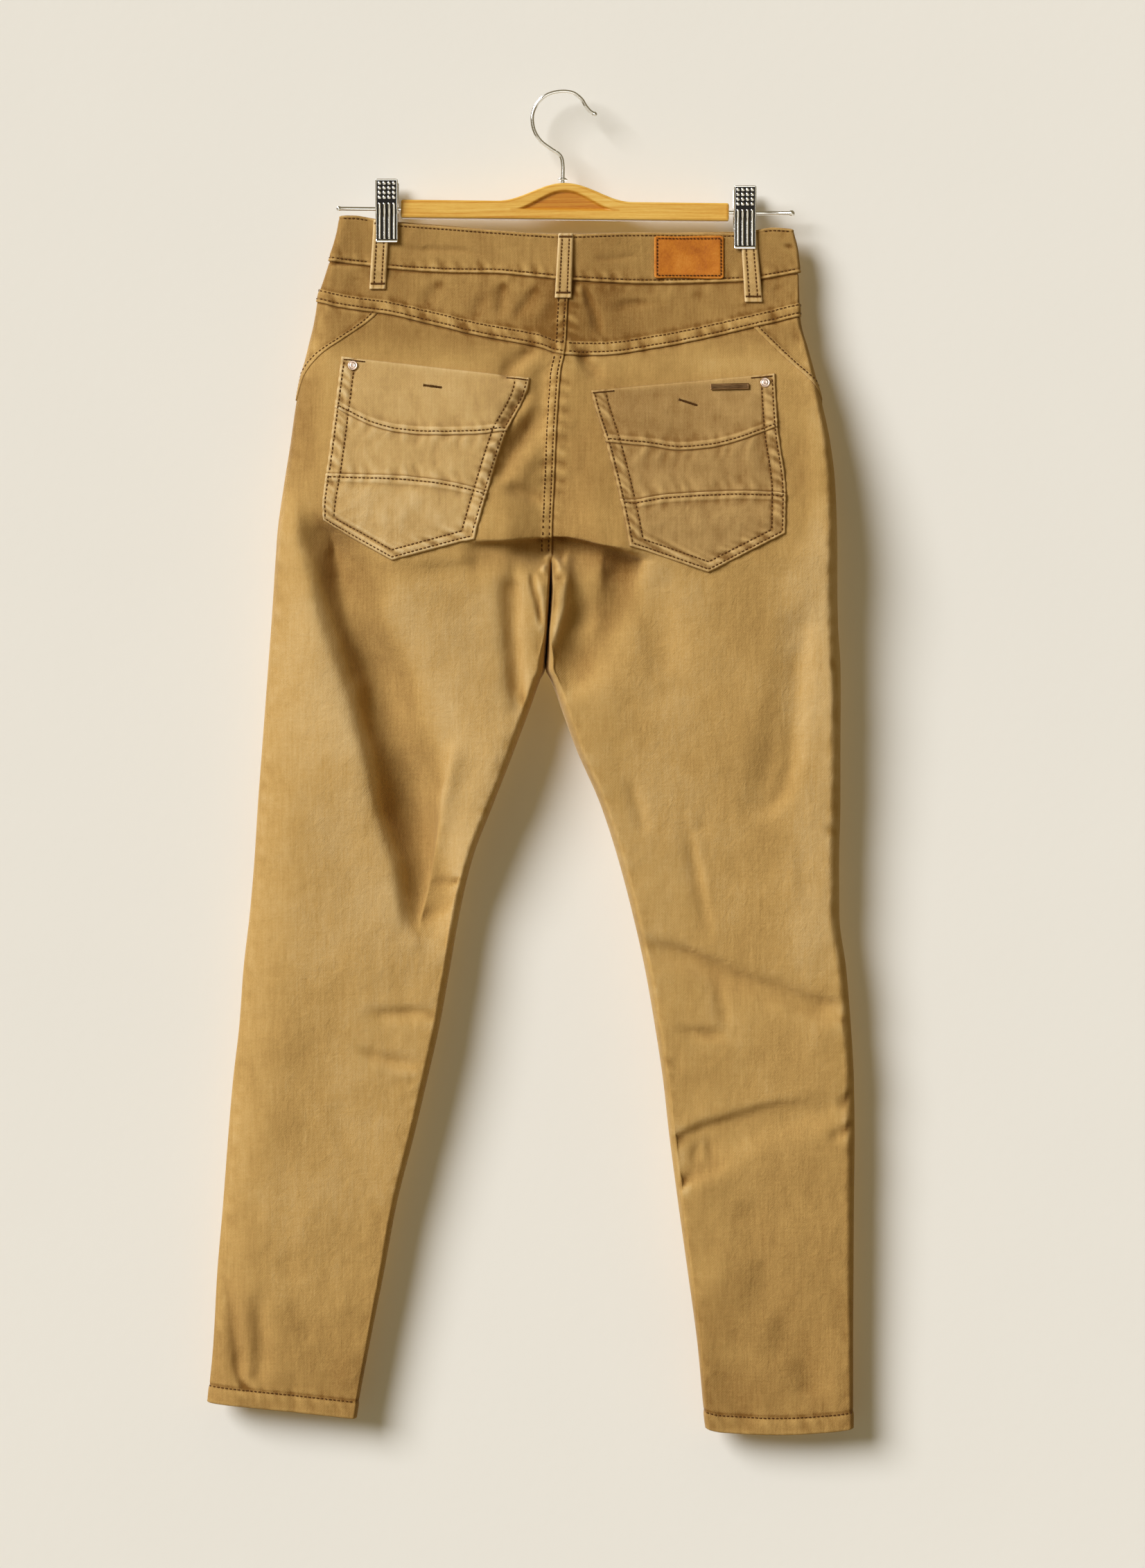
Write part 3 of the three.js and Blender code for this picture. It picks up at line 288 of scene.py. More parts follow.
def wood_material():
    n = Net("beech")
    bend = n.mul(n.noise(n.scaled(4, 10, 10), 1.0, 2.0), 0.012)
    ring = n.noise(n.vec(n.mul(n.x, 5), n.mul(n.y, 160), n.mul(n.add(n.z, bend), 330)), 1.0, 3.0, 0.55, 0.8)
    fibre = n.noise(n.scaled(55, 1400, 1400), 1.0, 2.0, 0.6)
    fleck = n.noise(n.scaled(240, 900, 1500), 1.0, 2.0, 0.5)
    tone = n.add(n.mul(ring, 0.9), n.add(n.mul(fibre, 0.34), n.mul(fleck, 0.2)))
    # painted shade in the bar's sunk arch and along its bevels
    tone = n.add(tone, n.mul(n.attr("hollow"), -0.42))
    tone = n.add(tone, n.mul(n.attr("wear"), 0.2))
    colour = n.ramp(tone, [(0.12, lin(176, 102, 12)), (0.5, lin(206, 144, 46)), (0.8, lin(228, 182, 84)), (1.0, lin(238, 202, 116))])
    return n.finish(colour, n.remap(fibre, 0.3, 0.7, 0.34, 0.5), n.bump(n.add(ring, n.mul(fibre, 0.5)), 0.00022, 0.4), Coat_Weight=0.08, Coat_Roughness=0.3, Specular_IOR_Level=0.25)


def metal_material(name, a, b, rough, scratch=0.3, patina_and_painted_dark=(0.012, 0.011, 0.010, 1)):
    n = Net(name)
    v = n.noise(n.scaled(1, 1, 1), 90, 4.0, 0.6)
    fine = n.noise(n.scaled(180, 900, 900), 1.0, 2.0, 0.6)
    tone = n.add(n.mul(v, 0.7), n.mul(fine, scratch))
    colour = n.ramp(tone, [(0.25, a), (0.8, b)])
    # near-black where the mask is high: painted dark reflection on the clip plates' flat field, patina in the label
    # bar's sunk field
    colour = n.blend(n.remap(n.attr("hollow"), 0.3, 0.75, 0.0, 1.0), colour, patina_and_painted_dark)
    return n.finish(colour, n.remap(fine, 0.3, 0.7, rough * 0.8, rough * 1.35), n.bump(fine, 0.00006, 0.3), Metallic=1.0)


LEATHER = leather_material()
WOOD = wood_material()
CHROME = metal_material("polished_steel", lin(204, 202, 196), lin(247, 245, 241), 0.14)
COPPER = metal_material("pale_copper", lin(206, 176, 156), lin(244, 226, 212), 0.38)
BRONZE = metal_material("aged_bronze", lin(84, 58, 34), lin(140, 108, 72), 0.42, 0.5)


# ---------------------------------------------------------------- the garment's surface
def curve(rows):
    """A smooth curve through (v, value) pairs that never overshoots them."""
    rows = sorted(rows)
    x = np.array([r[0] for r in rows], float)
    y = np.array([r[1] for r in rows], float)
    d = np.diff(y) / np.diff(x)
    m = np.zeros(len(x))
    m[0], m[-1] = d[0], d[-1]
    for i in range(1, len(x) - 1):
        m[i] = 0 if d[i - 1] * d[i] <= 0 else 2 * d[i - 1] * d[i] / (d[i - 1] + d[i])

    def f(v):
        v = np.clip(np.asarray(v, float), x[0], x[-1])
        i = np.clip(np.searchsorted(x, v, side="right") - 1, 0, len(x) - 2)
        h = x[i + 1] - x[i]
        t = (v - x[i]) / h
        t2, t3 = t * t, t * t * t
        return y[i] * (2 * t3 - 3 * t2 + 1) + m[i] * h * (t3 - 2 * t2 + t) + y[i + 1] * (3 * t2 - 2 * t3) + m[i + 1] * h * (t3 - t2)

    return f


def smooth(t):
    c = np.clip(t, 0, 1)
    return c * c * (3 - 2 * c)


# height, left side seam, left inner edge, right inner edge, right side seam
OUTLINE = [
    (-97.4, -185.0, 5.8, 5.8, 190.2), (-116.0, -188.5, 5.8, 5.8, 192.6), (-134.6, -193.7, 5.5, 5.5, 196.6),
    (-153.1, -199.5, 4.9, 4.9, 197.8), (-171.7, -205.3, 4.1, 4.1, 198.4), (-190.2, -208.2, 3.2, 3.2, 198.9),
    (-213.4, -213.7, 2.0, 2.0, 205.3), (-236.6, -219.2, -2.3, -2.3, 211.7), (-259.8, -223.6, -4.1, -4.1, 217.2),
    (-294.6, -228.5, -6.1, -6.1, 224.5), (-329.4, -234.0, -7.5, -7.5, 228.5), (-369.5, -239.5, -9.3, -9.3, 230.0),
    (-387.4, -240.7, -9.7, -9.5, 230.3), (-404.8, -241.9, -10.1, -9.6, 230.3), (-413.5, -242.4, -10.6, -9.4, 230.3),
    (-445.4, -244.5, -12.7, -11.1, 230.8), (-479.7, -247.1, -15.6, -13.4, 232.9), (-503.4, -248.8, -22.9, -5.8, 233.2),
    (-549.8, -252.3, -40.0, 11.0, 232.9), (-596.2, -255.8, -58.1, 31.3, 232.9), (-642.6, -258.7, -75.7, 46.4, 231.8),
    (-689.0, -262.7, -86.6, 58.6, 232.0), (-735.4, -268.0, -94.8, 69.0, 237.8), (-781.8, -271.4, -103.2, 77.1, 241.6),
    (-828.2, -276.7, -113.7, 84.1, 244.2), (-874.6, -280.7, -124.7, 89.3, 244.8), (-932.6, -285.1, -139.4, 96.9, 244.2),
    (-990.6, -290.0, -150.2, 105.0, 243.9), (-1048.6, -293.2, -161.8, 112.8, 243.6), (-1106.6, -298.7, -172.5, 118.3, 243.6),
    (-1121.7, -299.9, -174.6, 120.1, 243.6),
]
# height, back, front, back at the centre, front at the centre, side rounding, swell from the centre
DEPTH = [
    (-97, 4.4, 4.4, 9.0, 8.0, 4.6, 120), (-135, 4.6, 4.6, 9.5, 8.5, 5.0, 120), (-153, 6.0, 5.6, 11, 9.5, 7.0, 110),
    (-172, 9.0, 8.0, 14, 11, 11, 100), (-190, 12.5, 10, 17, 13, 16, 90), (-213, 17, 12, 20, 14, 22, 75),
    (-237, 21, 14, 22.5, 15, 30, 65), (-260, 25, 16, 24.5, 16, 38, 60), (-295, 30, 18, 26, 16, 48, 50),
    (-330, 34, 19, 27, 15, 56, 45), (-369, 38, 20, 26, 13, 62, 42), (-390, 38, 20, 17, 9, 64, 42),
    (-405, 37, 20, 8, 4, 65, 42), (-413.5, 36.5, 20, 0.4, 0.4, 66, 42), (-445, 34, 20, 0, 0, 66, 42),
    (-503, 31, 19.5, 0, 0, 66, 42), (-596, 27, 18, 0, 0, 62, 42), (-689, 23.5, 17, 0, 0, 58, 42),
    (-782, 22, 16, 0, 0, 54, 42), (-875, 19.5, 15, 0, 0, 50, 42), (-991, 16, 13, 0, 0, 40, 42),
    (-1060, 13.5, 11.5, 0, 0, 30, 42), (-1122, 12, 11, 0, 0, 24, 42),
]
OUT_L, _IN_L, _IN_R, OUT_R = (curve([(r[0], r[k]) for r in OUTLINE]) for k in (1, 2, 3, 4))


def closed(z):
    """1 where the two legs still lie against one another."""
    return smooth((z + 492) / 10)


def IN_L(z):
    return _IN_L(z) + (_IN_R(z) - _IN_L(z)) * 0.5 * closed(z)


def IN_R(z):
    return _IN_R(z) - (_IN_R(z) - _IN_L(z)) * 0.5 * closed(z)
BACK, FRONT, AT_BACK, AT_FRONT, TIP, SWELL = (curve([(r[0], r[k]) for r in DEPTH]) for k in range(1, 7))
# The largest folds, as the solid has them: face, x0, z0, x1, z1, half-width, height.
FOLDS = [
    (-1, -218, -300, -212, -380, 9, -2), (-1, -150, -520, -120, -690, 14, -2),
    (-1, -92, -555, -122, -710, 9, 3), (-1, -43, -418, -36, -515, 9, -4), (-1, 16, -385, 12, -440, 12, -7),
    (-1, 12, -440, 4, -500, 10, -4), (-1, 196, -450, 166, -596, 14, -4), (-1, 80, -418, 86, -478, 15, -4),
    (-1, 68, -716, 228, -768, 9, -3), (-1, 92, -896, 218, -852, 12, -3.5), (-1, -284, -990, -270, -1065, 9, -3),
    (-1, -256, -1016, -254, -1075, 9, -2.5), (-1, -16, -238, -19, -290, 7, -3), (-1, 168, -990, 208, -1080, 14, -2.5),
    (1, -60, -330, -180, -400, 14, -4), (1, 45, -340, 170, -430, 14, -4), (1, -90, -620, -230, -690, 11, -3),
    (1, 80, -700, 215, -650, 11, -3), (1, -200, -860, -225, -1040, 13, -3), (1, 150, -820, 185, -1020, 13, -3),
]
SEAT_FOLD = curve([(-73, -376), (-42, -372), (-5, -369), (33, -377), (55, -383)])
TOP_BACK = curve([(-198, -103.2), (-175, -103.4), (-158, -106.1), (-137, -109.6), (-100, -112.5), (-57, -116), (-28, -118.3), (0, -119.7), (67, -117.9), (143, -118.1), (163, -115.4), (176, -113.5), (202, -115.5)])
TOP_FRONT = curve([(-198, -103.2), (-100, -111), (0, -118), (100, -117), (202, -115.5)])
BAND_BACK = curve([(-204, -140.4), (-162, -145.6), (-135, -149), (-93, -151.4), (-58, -152), (-28, -154.8), (5, -158.2), (68, -161), (149, -158.9), (197, -151.4), (206, -150)])
BAND_FRONT = curve([(-204, -140.4), (-100, -150), (0, -157), (100, -157), (206, -150)])
YOKE = curve([(-212, -173.6), (-183, -181.2), (-147, -186.4), (-115, -193.7), (-71, -204.5), (-21, -214.2), (2, -221), (30, -221.5), (75, -215.8), (137, -203), (201, -187.5), (206, -186.4)])
HEM_L = curve([(-300, -1097.2), (-230, -1104.4), (-172, -1110.8)])
HEM_R = curve([(118, -1118.6), (132, -1121.8), (180, -1124), (225, -1121.6), (244, -1119)])
HIP_L = curve([(-180, -151), (-190, -159.5), (-205, -180), (-220, -201.3), (-231, -211.6), (-241, -217.8), (-259.8, -223.5)])
HIP_R = curve([(-190, 152.5), (-200, 161.8), (-214, 175.7), (-227.4, 189.7), (-237, 200.5), (-248.2, 211.6), (-259.8, 217.1)])
MOUTH = curve([(-140, 104), (-160, 107), (-190, 120), (-215, 144), (-235, 177), (-247, 203), (-259.8, 223.5)])
HIP_END = -259.8


def rounded(t):
    t = np.clip(t, 0, 1)
    return np.sqrt(np.maximum(0, 1 - (1 - t) ** 2))


def edges(side, z):
    return np.where(side < 0, IN_L(z), IN_R(z)), np.where(side < 0, OUT_L(z), OUT_R(z))


def big_folds(face, x, z):
    h = np.zeros_like(x)
    for f, x0, z0, x1, z1, width, high in FOLDS:
        dx, dz = x1 - x0, z1 - z0
        t = np.clip(((x - x0) * dx + (z - z0) * dz) / (dx * dx + dz * dz), 0, 1)
        d2 = ((x - x0 - t * dx) ** 2 + (z - z0 - t * dz) ** 2) / (width * width)
        h += np.where(face == f, high * np.exp(-np.minimum(d2, 40)), 0)
    d = z - SEAT_FOLD(x)
    along = smooth((x + 86) / 22) * smooth((68 - x) / 22)
    under = 6 * np.exp(-((d + 9) / 16) ** 2)
    step = (3 + 6 * math.exp(-((9 / 16) ** 2))) * np.exp(-((d / 4) ** 2))
    h += np.where((face < 0) & (np.abs(d) < 48), along * np.where(d > 0, 3 * np.exp(-((d / 16) ** 2)), step - under), 0)
    return h


def standing(side, face, x, z):
    inn, out = edges(side, z)
    wide = np.abs(out - inn)
    a = np.clip((x - inn) * side, 0, wide)
    b = wide - a
    full = np.where(face < 0, BACK(z), FRONT(z))
    mid = np.where(face < 0, AT_BACK(z), AT_FRONT(z))
    legs = smooth((-385 - z) / 28.5)
    tip = np.minimum(TIP(z), wide * 0.5)
    # Flattened by hanging, the back turns in close to its right edge and close to the inseams.
    right = (face < 0) & (side > 0)
    tip_a, tip_b = np.where(face < 0, tip * (0.11 - 0.07 * smooth((z + 485) / 34)), tip), np.where(right, tip * 0.18, tip)
    ramp = (1 - legs) * smooth(a / SWELL(z)) + legs * rounded(a / tip_a)
    return (mid + (full - mid) * ramp + big_folds(face, x, z) * (1 - legs + legs * ramp)) * rounded(b / tip_b)


_u = np.linspace(0, 1, 2001)
_F = 0.3 * _u + 0.7 * (1 - np.cos(np.pi * _u)) / 2


def spot(side, q, z):
    """A place on the garment: q is 0 at the centre of the back or an inseam, 1 at the side seam, 2 at the centre of the front."""
    q = np.clip(q, 0, 2)
    face = np.where(q <= 1, -1.0, 1.0)
    u = np.where(q <= 1, q, 2 - q)
    inn, out = edges(side, z)
    x = inn + (out - inn) * np.interp(u, _u, _F)
    return np.stack([x, face * standing(side, face, x, z), z + 0 * x], -1)


def q_at(side, face, x, z):
    inn, out = edges(side, z)
    u = np.interp(np.clip((x - inn) / (out - inn), 0, 1), _F, _u)
    return np.where(face < 0, u, 2 - u)


def outward(side, q, z):
    e = 0.0035
    a, b = spot(side, q - e, z), spot(side, q + e, z)
    u, d = spot(side, q, z + 0.8), spot(side, q, z - 0.8)
    n = np.cross(b - a, u - d) * np.asarray(side, float)[..., None]
    return n / np.maximum(np.linalg.norm(n, axis=-1, keepdims=True), 1e-9)


# ---------------------------------------------------------------- unevenness of the cloth
def lattice(x, z, seed):
    """Smooth noise from -1 to 1 over a plane."""
    xi, zi = np.floor(x).astype(np.int64), np.floor(z).astype(np.int64)
    xf, zf = x - xi, z - zi

    def grad(i, j, dx, dz):
        h = (i * 73856093) ^ (j * 19349663) ^ (seed * 83492791)
        h = (h ^ (h >> 13)) * 1274126177
        a = ((h ^ (h >> 16)) & 1023) * (2 * math.pi / 1024)
        return np.cos(a) * dx + np.sin(a) * dz

    u, v = xf * xf * xf * (xf * (xf * 6 - 15) + 10), zf * zf * zf * (zf * (zf * 6 - 15) + 10)
    top = grad(xi, zi, xf, zf) * (1 - u) + grad(xi + 1, zi, xf - 1, zf) * u
    low = grad(xi, zi + 1, xf, zf - 1) * (1 - u) + grad(xi + 1, zi + 1, xf - 1, zf - 1) * u
    return (top * (1 - v) + low * v) * 1.5


def P(*points):
    """Points counted in squares of 0.58 mm from a corner, as places on the garment's plane."""
    return [((x - 812) * 0.58, -(y - 132) * 0.58) for x, y in points]


# Creases: the line, its height (minus is a trough), half-width on its left and right as one walks it,
# and the share of its length over which it fades in and out.
def C(points, high, left, right=None, fade=(0.35, 0.35), under=False):
    """under: it begins beneath the seat's overhang and leaves the seat alone."""
    return (points, high, left, right if right else left, fade, under)


CREASES_BACK = [
    # left leg
    C(P((442, 690), (456, 760), (478, 825), (519, 935), (549, 1028), (575, 1127), (598, 1226), (608, 1307), (610, 1390)), -27.0, 34, 14.5, (0.16, 0.2)),
    C(P((418, 690), (430, 770), (443, 830), (474, 935), (502, 1028), (530, 1127), (558, 1226), (580, 1307)), 4.6, 7, 28, (0.2, 0.25)),
    C(P((664, 1060), (650, 1110), (632, 1172), (616, 1252), (606, 1350)), 3.6, 10, 4.5, (0.35, 0.12)),
    C(P((744, 1000), (718, 1080), (692, 1160), (670, 1240), (654, 1330)), 4.6, 12, 34, (0.3, 0.25)),
    C(P((440, 620), (446, 700), (462, 800)), 1.6, 8, 8),
    C(P((418, 800), (436, 905), (470, 1010), (505, 1120), (530, 1225)), 1.8, 16, 14),
    C(P((560, 1215), (573, 1290), (585, 1350)), 2.2, 9, 5),
    C(P((620, 1281), (645, 1273), (674, 1265)), -3.2, 3.4, 3.0),
    C(P((600, 1330), (628, 1318), (655, 1300)), -2.8, 4),
    C(P((686, 1166), (706, 1176)), -1.3, 3),
    C(P((524, 1457), (560, 1464), (600, 1466), (640, 1462)), -3.4, 4.5, 6),
    C(P((520, 1446), (575, 1450), (632, 1447)), 1.3, 6),
    C(P((506, 1512), (540, 1522), (580, 1533), (616, 1536)), -4.2, 6.5, 4.5),
    C(P((520, 1532), (565, 1546), (606, 1553)), 1.5, 5),
    C(P((566, 1553), (606, 1559)), -1.7, 3.6),
    C(P((596, 1378), (590, 1430), (596, 1480)), -1.8, 7),
    C(P((480, 1385), (530, 1400), (575, 1402)), 1.3, 9),
    C(P((425, 1520), (424, 1600)), -1.3, 8),
    C(P((503, 1575), (497, 1620), (490, 1664)), -1.7, 7),
    C(P((540, 1590), (530, 1680), (508, 1780)), -1.2, 12),
    C(P((378, 1560), (372, 1650), (366, 1740)), 1.2, 12),
    C(P((455, 1640), (446, 1760), (440, 1850)), 1.3, 12),
    C(P((352, 1460), (390, 1475), (420, 1498)), -1.1, 6),
    C(P((321, 1828), (331, 1880), (342, 1940), (352, 1996)), -3.2, 6.5, 5, (0.4, 0.0)),
    C(P((300, 1960), (312, 2010)), 1.0, 5),
    C(P((417, 1797), (420, 1830), (420, 1856)), -1.9, 6),
    C(P((372, 1868), (382, 1915), (382, 1950), (368, 1992)), -2.8, 6, 5, (0.35, 0.1)),
    C(P((352, 1880), (362, 1940), (360, 1985)), 1.4, 5, 5, (0.3, 0.0)),
    C(P((424, 1868), (436, 1908), (444, 1946)), -2.0, 5.5),
    C(P((424, 1975), (424, 2034)), -1.9, 5, 5, (0.35, 0.0)),
    C(P((478, 1900), (474, 1965), (478, 2036)), -1.3, 7, 7, (0.4, 0.0)),
    C(P((500, 1840), (492, 1910)), 1.0, 7),
    C(P((396, 1990), (398, 2038)), 1.2, 6, 6, (0.4, 0.0)),
    C(P((700, 930), (690, 1000), (680, 1060)), 1.6, 13),
    C(P((640, 860), (632, 960), (640, 1060)), 1.4, 18),
    C(P((575, 860), (600, 930), (640, 1010), (668, 1050)), -1.7, 13),
    # right leg
    C(P((947, 840), (952, 890), (950, 965)), -2.4, 15),
    C(P((906, 800), (898, 880), (900, 960)), 1.4, 10),
    C(P((884, 1026), (960, 1004), (1070, 972)), -1.7, 9, 13),
    C(P((880, 1050), (960, 1030), (1060, 1004)), 1.1, 10),
    C(P((1163, 880), (1148, 975), (1141, 1053), (1134, 1130), (1112, 1160), (1088, 1168)), -3.8, 10, 6, (0.35, 0.15)),
    C(P((1120, 930), (1108, 1030), (1098, 1120)), 1.6, 12),
    C(P((902, 1120), (918, 1162), (936, 1212)), -2.8, 5),
    C(P((930, 1075), (945, 1130), (958, 1180)), 0.9, 7),
    C(P((983, 1152), (991, 1195), (1003, 1255), (1017, 1318), (1024, 1378)), -3.1, 3.6, 6.5, (0.35, 0.3)),
    C(P((998, 1180), (1014, 1260), (1030, 1330)), 0.9, 5),
    C(P((1028, 1187), (1008, 1198), (990, 1206)), -2.2, 3.6),
    C(P((1051, 1228), (1064, 1258), (1078, 1290)), -1.1, 5),
    C(P((1144, 1225), (1147, 1318)), 1.6, 5, 4),
    C(P((1158, 1222), (1162, 1300)), -1.4, 5),
    C(P((920, 1362), (960, 1368), (1000, 1379), (1043, 1408), (1109, 1432), (1168, 1454), (1216, 1459)), -4.6, 8.5, 14, (0.16, 0.12)),
    C(P((940, 1352), (1000, 1364), (1050, 1392), (1120, 1420), (1180, 1440)), 1.4, 8, 6),
    C(P((1126, 1448), (1176, 1466), (1229, 1474)), -2.2, 3.6, 4.5, (0.3, 0.05)),
    C(P((970, 1480), (1000, 1490), (1056, 1494)), -3.0, 4.0),
    C(P((975, 1466), (1020, 1476), (1060, 1480)), 0.9, 4.5),
    C(P((1039, 1403), (1044, 1445), (1050, 1492)), -2.8, 4, 5),
    C(P((953, 1531), (990, 1537)), -1.6, 3.8),
    C(P((964, 1646), (994, 1634), (1026, 1622), (1086, 1606), (1144, 1593), (1190, 1591)), -4.4, 4.5, 13, (0.0, 0.35)),
    C(P((966, 1631), (1024, 1608), (1086, 1593), (1140, 1580)), 1.5, 8, 6),
    C(P((974, 1718), (990, 1702), (1027, 1682), (1066, 1664)), -4.0, 10, 4.5, (0.0, 0.4)),
    C(P((984, 1668), (1018, 1655), (1050, 1645)), -1.6, 7),
    C(P((1008, 1645), (1002, 1686)), -1.8, 3),
    C(P((1025, 1637), (1029, 1678)), -1.6, 3),
    C(P((1016, 1640), (1015, 1682)), 1.4, 3),
    C(P((990, 1726), (1030, 1704), (1075, 1690)), 1.8, 6),
    C(P((1235, 1570), (1222, 1586), (1206, 1603)), -2.8, 4, 4, (0.05, 0.4)),
    C(P((1235, 1618), (1208, 1636), (1190, 1645)), -2.8, 4, 4, (0.05, 0.4)),
    C(P((1188, 1196), (1213, 1207)), -2.0, 3, 3, (0.4, 0.05)),
    C(P((1082, 1725), (1078, 1780), (1080, 1826)), -2.6, 12),
    C(P((1086, 1836), (1087, 1912)), -2.2, 8),
    C(P((1153, 1858), (1147, 1908)), -1.6, 6),
    C(P((1138, 1898), (1122, 1940), (1104, 1976)), -2.1, 8),
    C(P((1170, 1875), (1172, 1950), (1168, 2018)), -2.1, 7.5, 7.5, (0.3, 0.1)),
    C(P((1190, 1700), (1194, 1800), (1198, 1900)), 1.2, 13),
    C(P((1120, 1700), (1124, 1800), (1128, 1870)), 1.2, 12),
    C(P((1030, 1790), (1036, 1880), (1040, 1960)), 1.4, 13),
    C(P((1060, 1950), (1064, 2052)), -1.6, 8, 8, (0.4, 0.0)),
    C(P((1100, 2000), (1104, 2056)), 1.2, 7, 7, (0.4, 0.0)),
    C(P((1205, 1970), (1206, 2054)), 1.1, 8, 8, (0.4, 0.0)),
    C(P((1181, 590), (1178, 689), (1189, 726), (1195, 766), (1189, 827), (1193, 860)), 1.6, 6, 8),
    C(P((1198, 940), (1208, 1000), (1210, 1060)), -2.6, 3, 4, (0.2, 0.2)),
    C(P((1192, 950), (1200, 1000), (1202, 1045)), 1.8, 3.5),
    C(P((1209, 1236), (1208, 1335)), -2.2, 3, 3, (0.25, 0.25)),
    C(P((1040, 1010), (1046, 1090), (1050, 1160)), 1.3, 16),
    C(P((1180, 1480), (1184, 1570)), 1.2, 10),
    # seat and yoke
    C(P((788, 590), (758, 634), (730, 672), (712, 708)), -8.5, 7, 11, (0.3, 0.2)),
    C(P((780, 640), (752, 680), (733, 722)), 2.6, 7, 7),
    C(P((786, 732), (752, 714), (722, 702)), -5.5, 6, 6),
    C(P((770, 560), (744, 590), (726, 628)), -6.0, 5, 8),
    C(P((784, 498), (752, 520), (716, 548)), -5.5, 5, 7),
    C(P((832, 500), (850, 530), (880, 548)), -5.0, 6, 6),
    C(P((404, 350), (440, 357), (482, 359)), -5.0, 2.6, 2.6),
    C(P((560, 350), (640, 360), (722, 366)), -5.0, 2.6, 2.6),
    C(P((420, 372), (470, 378), (540, 382)), -4.6, 2.6, 2.6),
    C(P((846, 372), (900, 372), (934, 368)), -5.0, 2.6, 2.6),
    C(P((1124, 352), (1146, 354), (1166, 352)), -5.0, 2.6, 2.6),
    C(P((790, 498), (778, 530), (770, 590), (766, 655)), -2.0, 8, 6),
    C(P((752, 520), (750, 600), (744, 680)), 1.1, 7),
    C(P((720, 652), (734, 684), (749, 712)), -1.3, 4),
    C(P((728, 404), (724, 432), (719, 460)), -3.0, 3.0, 4),
    C(P((778, 414), (760, 436), (738, 466)), -3.4, 3.2, 4.2),
    C(P((792, 428), (776, 450), (764, 470)), 2.4, 3.4),
    C(P((706, 420), (692, 440), (684, 462)), -2.6, 3.6),
    C(P((640, 404), (618, 430), (604, 446)), -2.2, 4),
    C(P((512, 398), (520, 424)), -0.8, 3),
    C(P((828, 410), (838, 428), (850, 444)), 1.6, 3),
    C(P((836, 410), (850, 434), (862, 464), (868, 492)), -3.8, 3.2, 5),
    C(P((878, 446), (910, 440), (944, 434)), -2.6, 3.0),
    C(P((876, 438), (920, 437), (972, 431)), -0.8, 2.2),
    C(P((1000, 418), (1010, 446)), -0.7, 4),
    C(P((1120, 410), (1132, 440)), -0.8, 4),
    C(P((432, 560), (428, 610), (430, 660)), -1.1, 5),
    C(P((842, 560), (838, 650), (846, 730)), -1.0, 7),
    C(P((1150, 620), (1152, 700), (1156, 780)), -1.0, 7),
    C(P((1140, 780), (1128, 840), (1112, 900)), -1.4, 10),
    # crotch and inner thighs
    C(P((904, 756), (900, 820), (880, 884), (846, 944), (808, 1004)), -14.0, 20, 30, (0.0, 0.25), True),
    C(P((824, 790), (815, 850), (803, 905), (793, 955)), 4.6, 6, 5, (0.15, 0.3), True),
    C(P((797, 836), (796, 862), (791, 905)), -4.2, 2.8, 2.8, (0.3, 0.4), True),
    C(P((786, 800), (800, 808), (809, 822), (806, 838)), 4.6, 4.5, 4.5, (0.2, 0.25), True),
    C(P((803, 806), (793, 822), (778, 832)), 3.8, 3.6, 3.6, (0.25, 0.3), True),
    C(P((781, 838), (780, 880), (786, 930)), 2.6, 4, 4, (0.2, 0.3), True),
    C(P((770, 826), (771, 858), (784, 908)), -5.0, 3.5, 2.6, (0.2, 0.3), True),
    C(P((748, 800), (742, 850), (744, 900), (745, 960), (753, 1006), (761, 1034)), -4.6, 4.5, 9, (0.25, 0.2), True),
    C(P((694, 792), (740, 786), (776, 782), (806, 780), (840, 786), (872, 798), (908, 808)), -3.0, 3.0, 10, (0.3, 0.3)),
    C(P((880, 806), (908, 850), (930, 905), (946, 950)), -3.4, 14, 14, (0.15, 0.3), True),
    C(P((700, 812), (640, 822), (590, 826)), -2.6, 9, 5, (0.1, 0.4)),
    C(P((714, 810), (712, 880), (716, 950)), 1.5, 9),
    C(P((768, 812), (772, 870), (778, 930)), 1.8, 5),
    C(P((870, 800), (872, 870), (866, 940), (848, 1010)), 1.5, 8),
    C(P((800, 826), (812, 870), (806, 930)), 1.5, 4),
    C(P((762, 780), (744, 800), (720, 812)), -1.4, 5),
    C(P((850, 790), (880, 806), (908, 812)), -1.4, 5),
    C(P((640, 815), (600, 826), (560, 822)), -1.0, 7),
    C(P((640, 700), (590, 720), (540, 716)), 0.7, 9),
    C(P((940, 690), (990, 700), (1050, 694)), 0.7, 9),
]
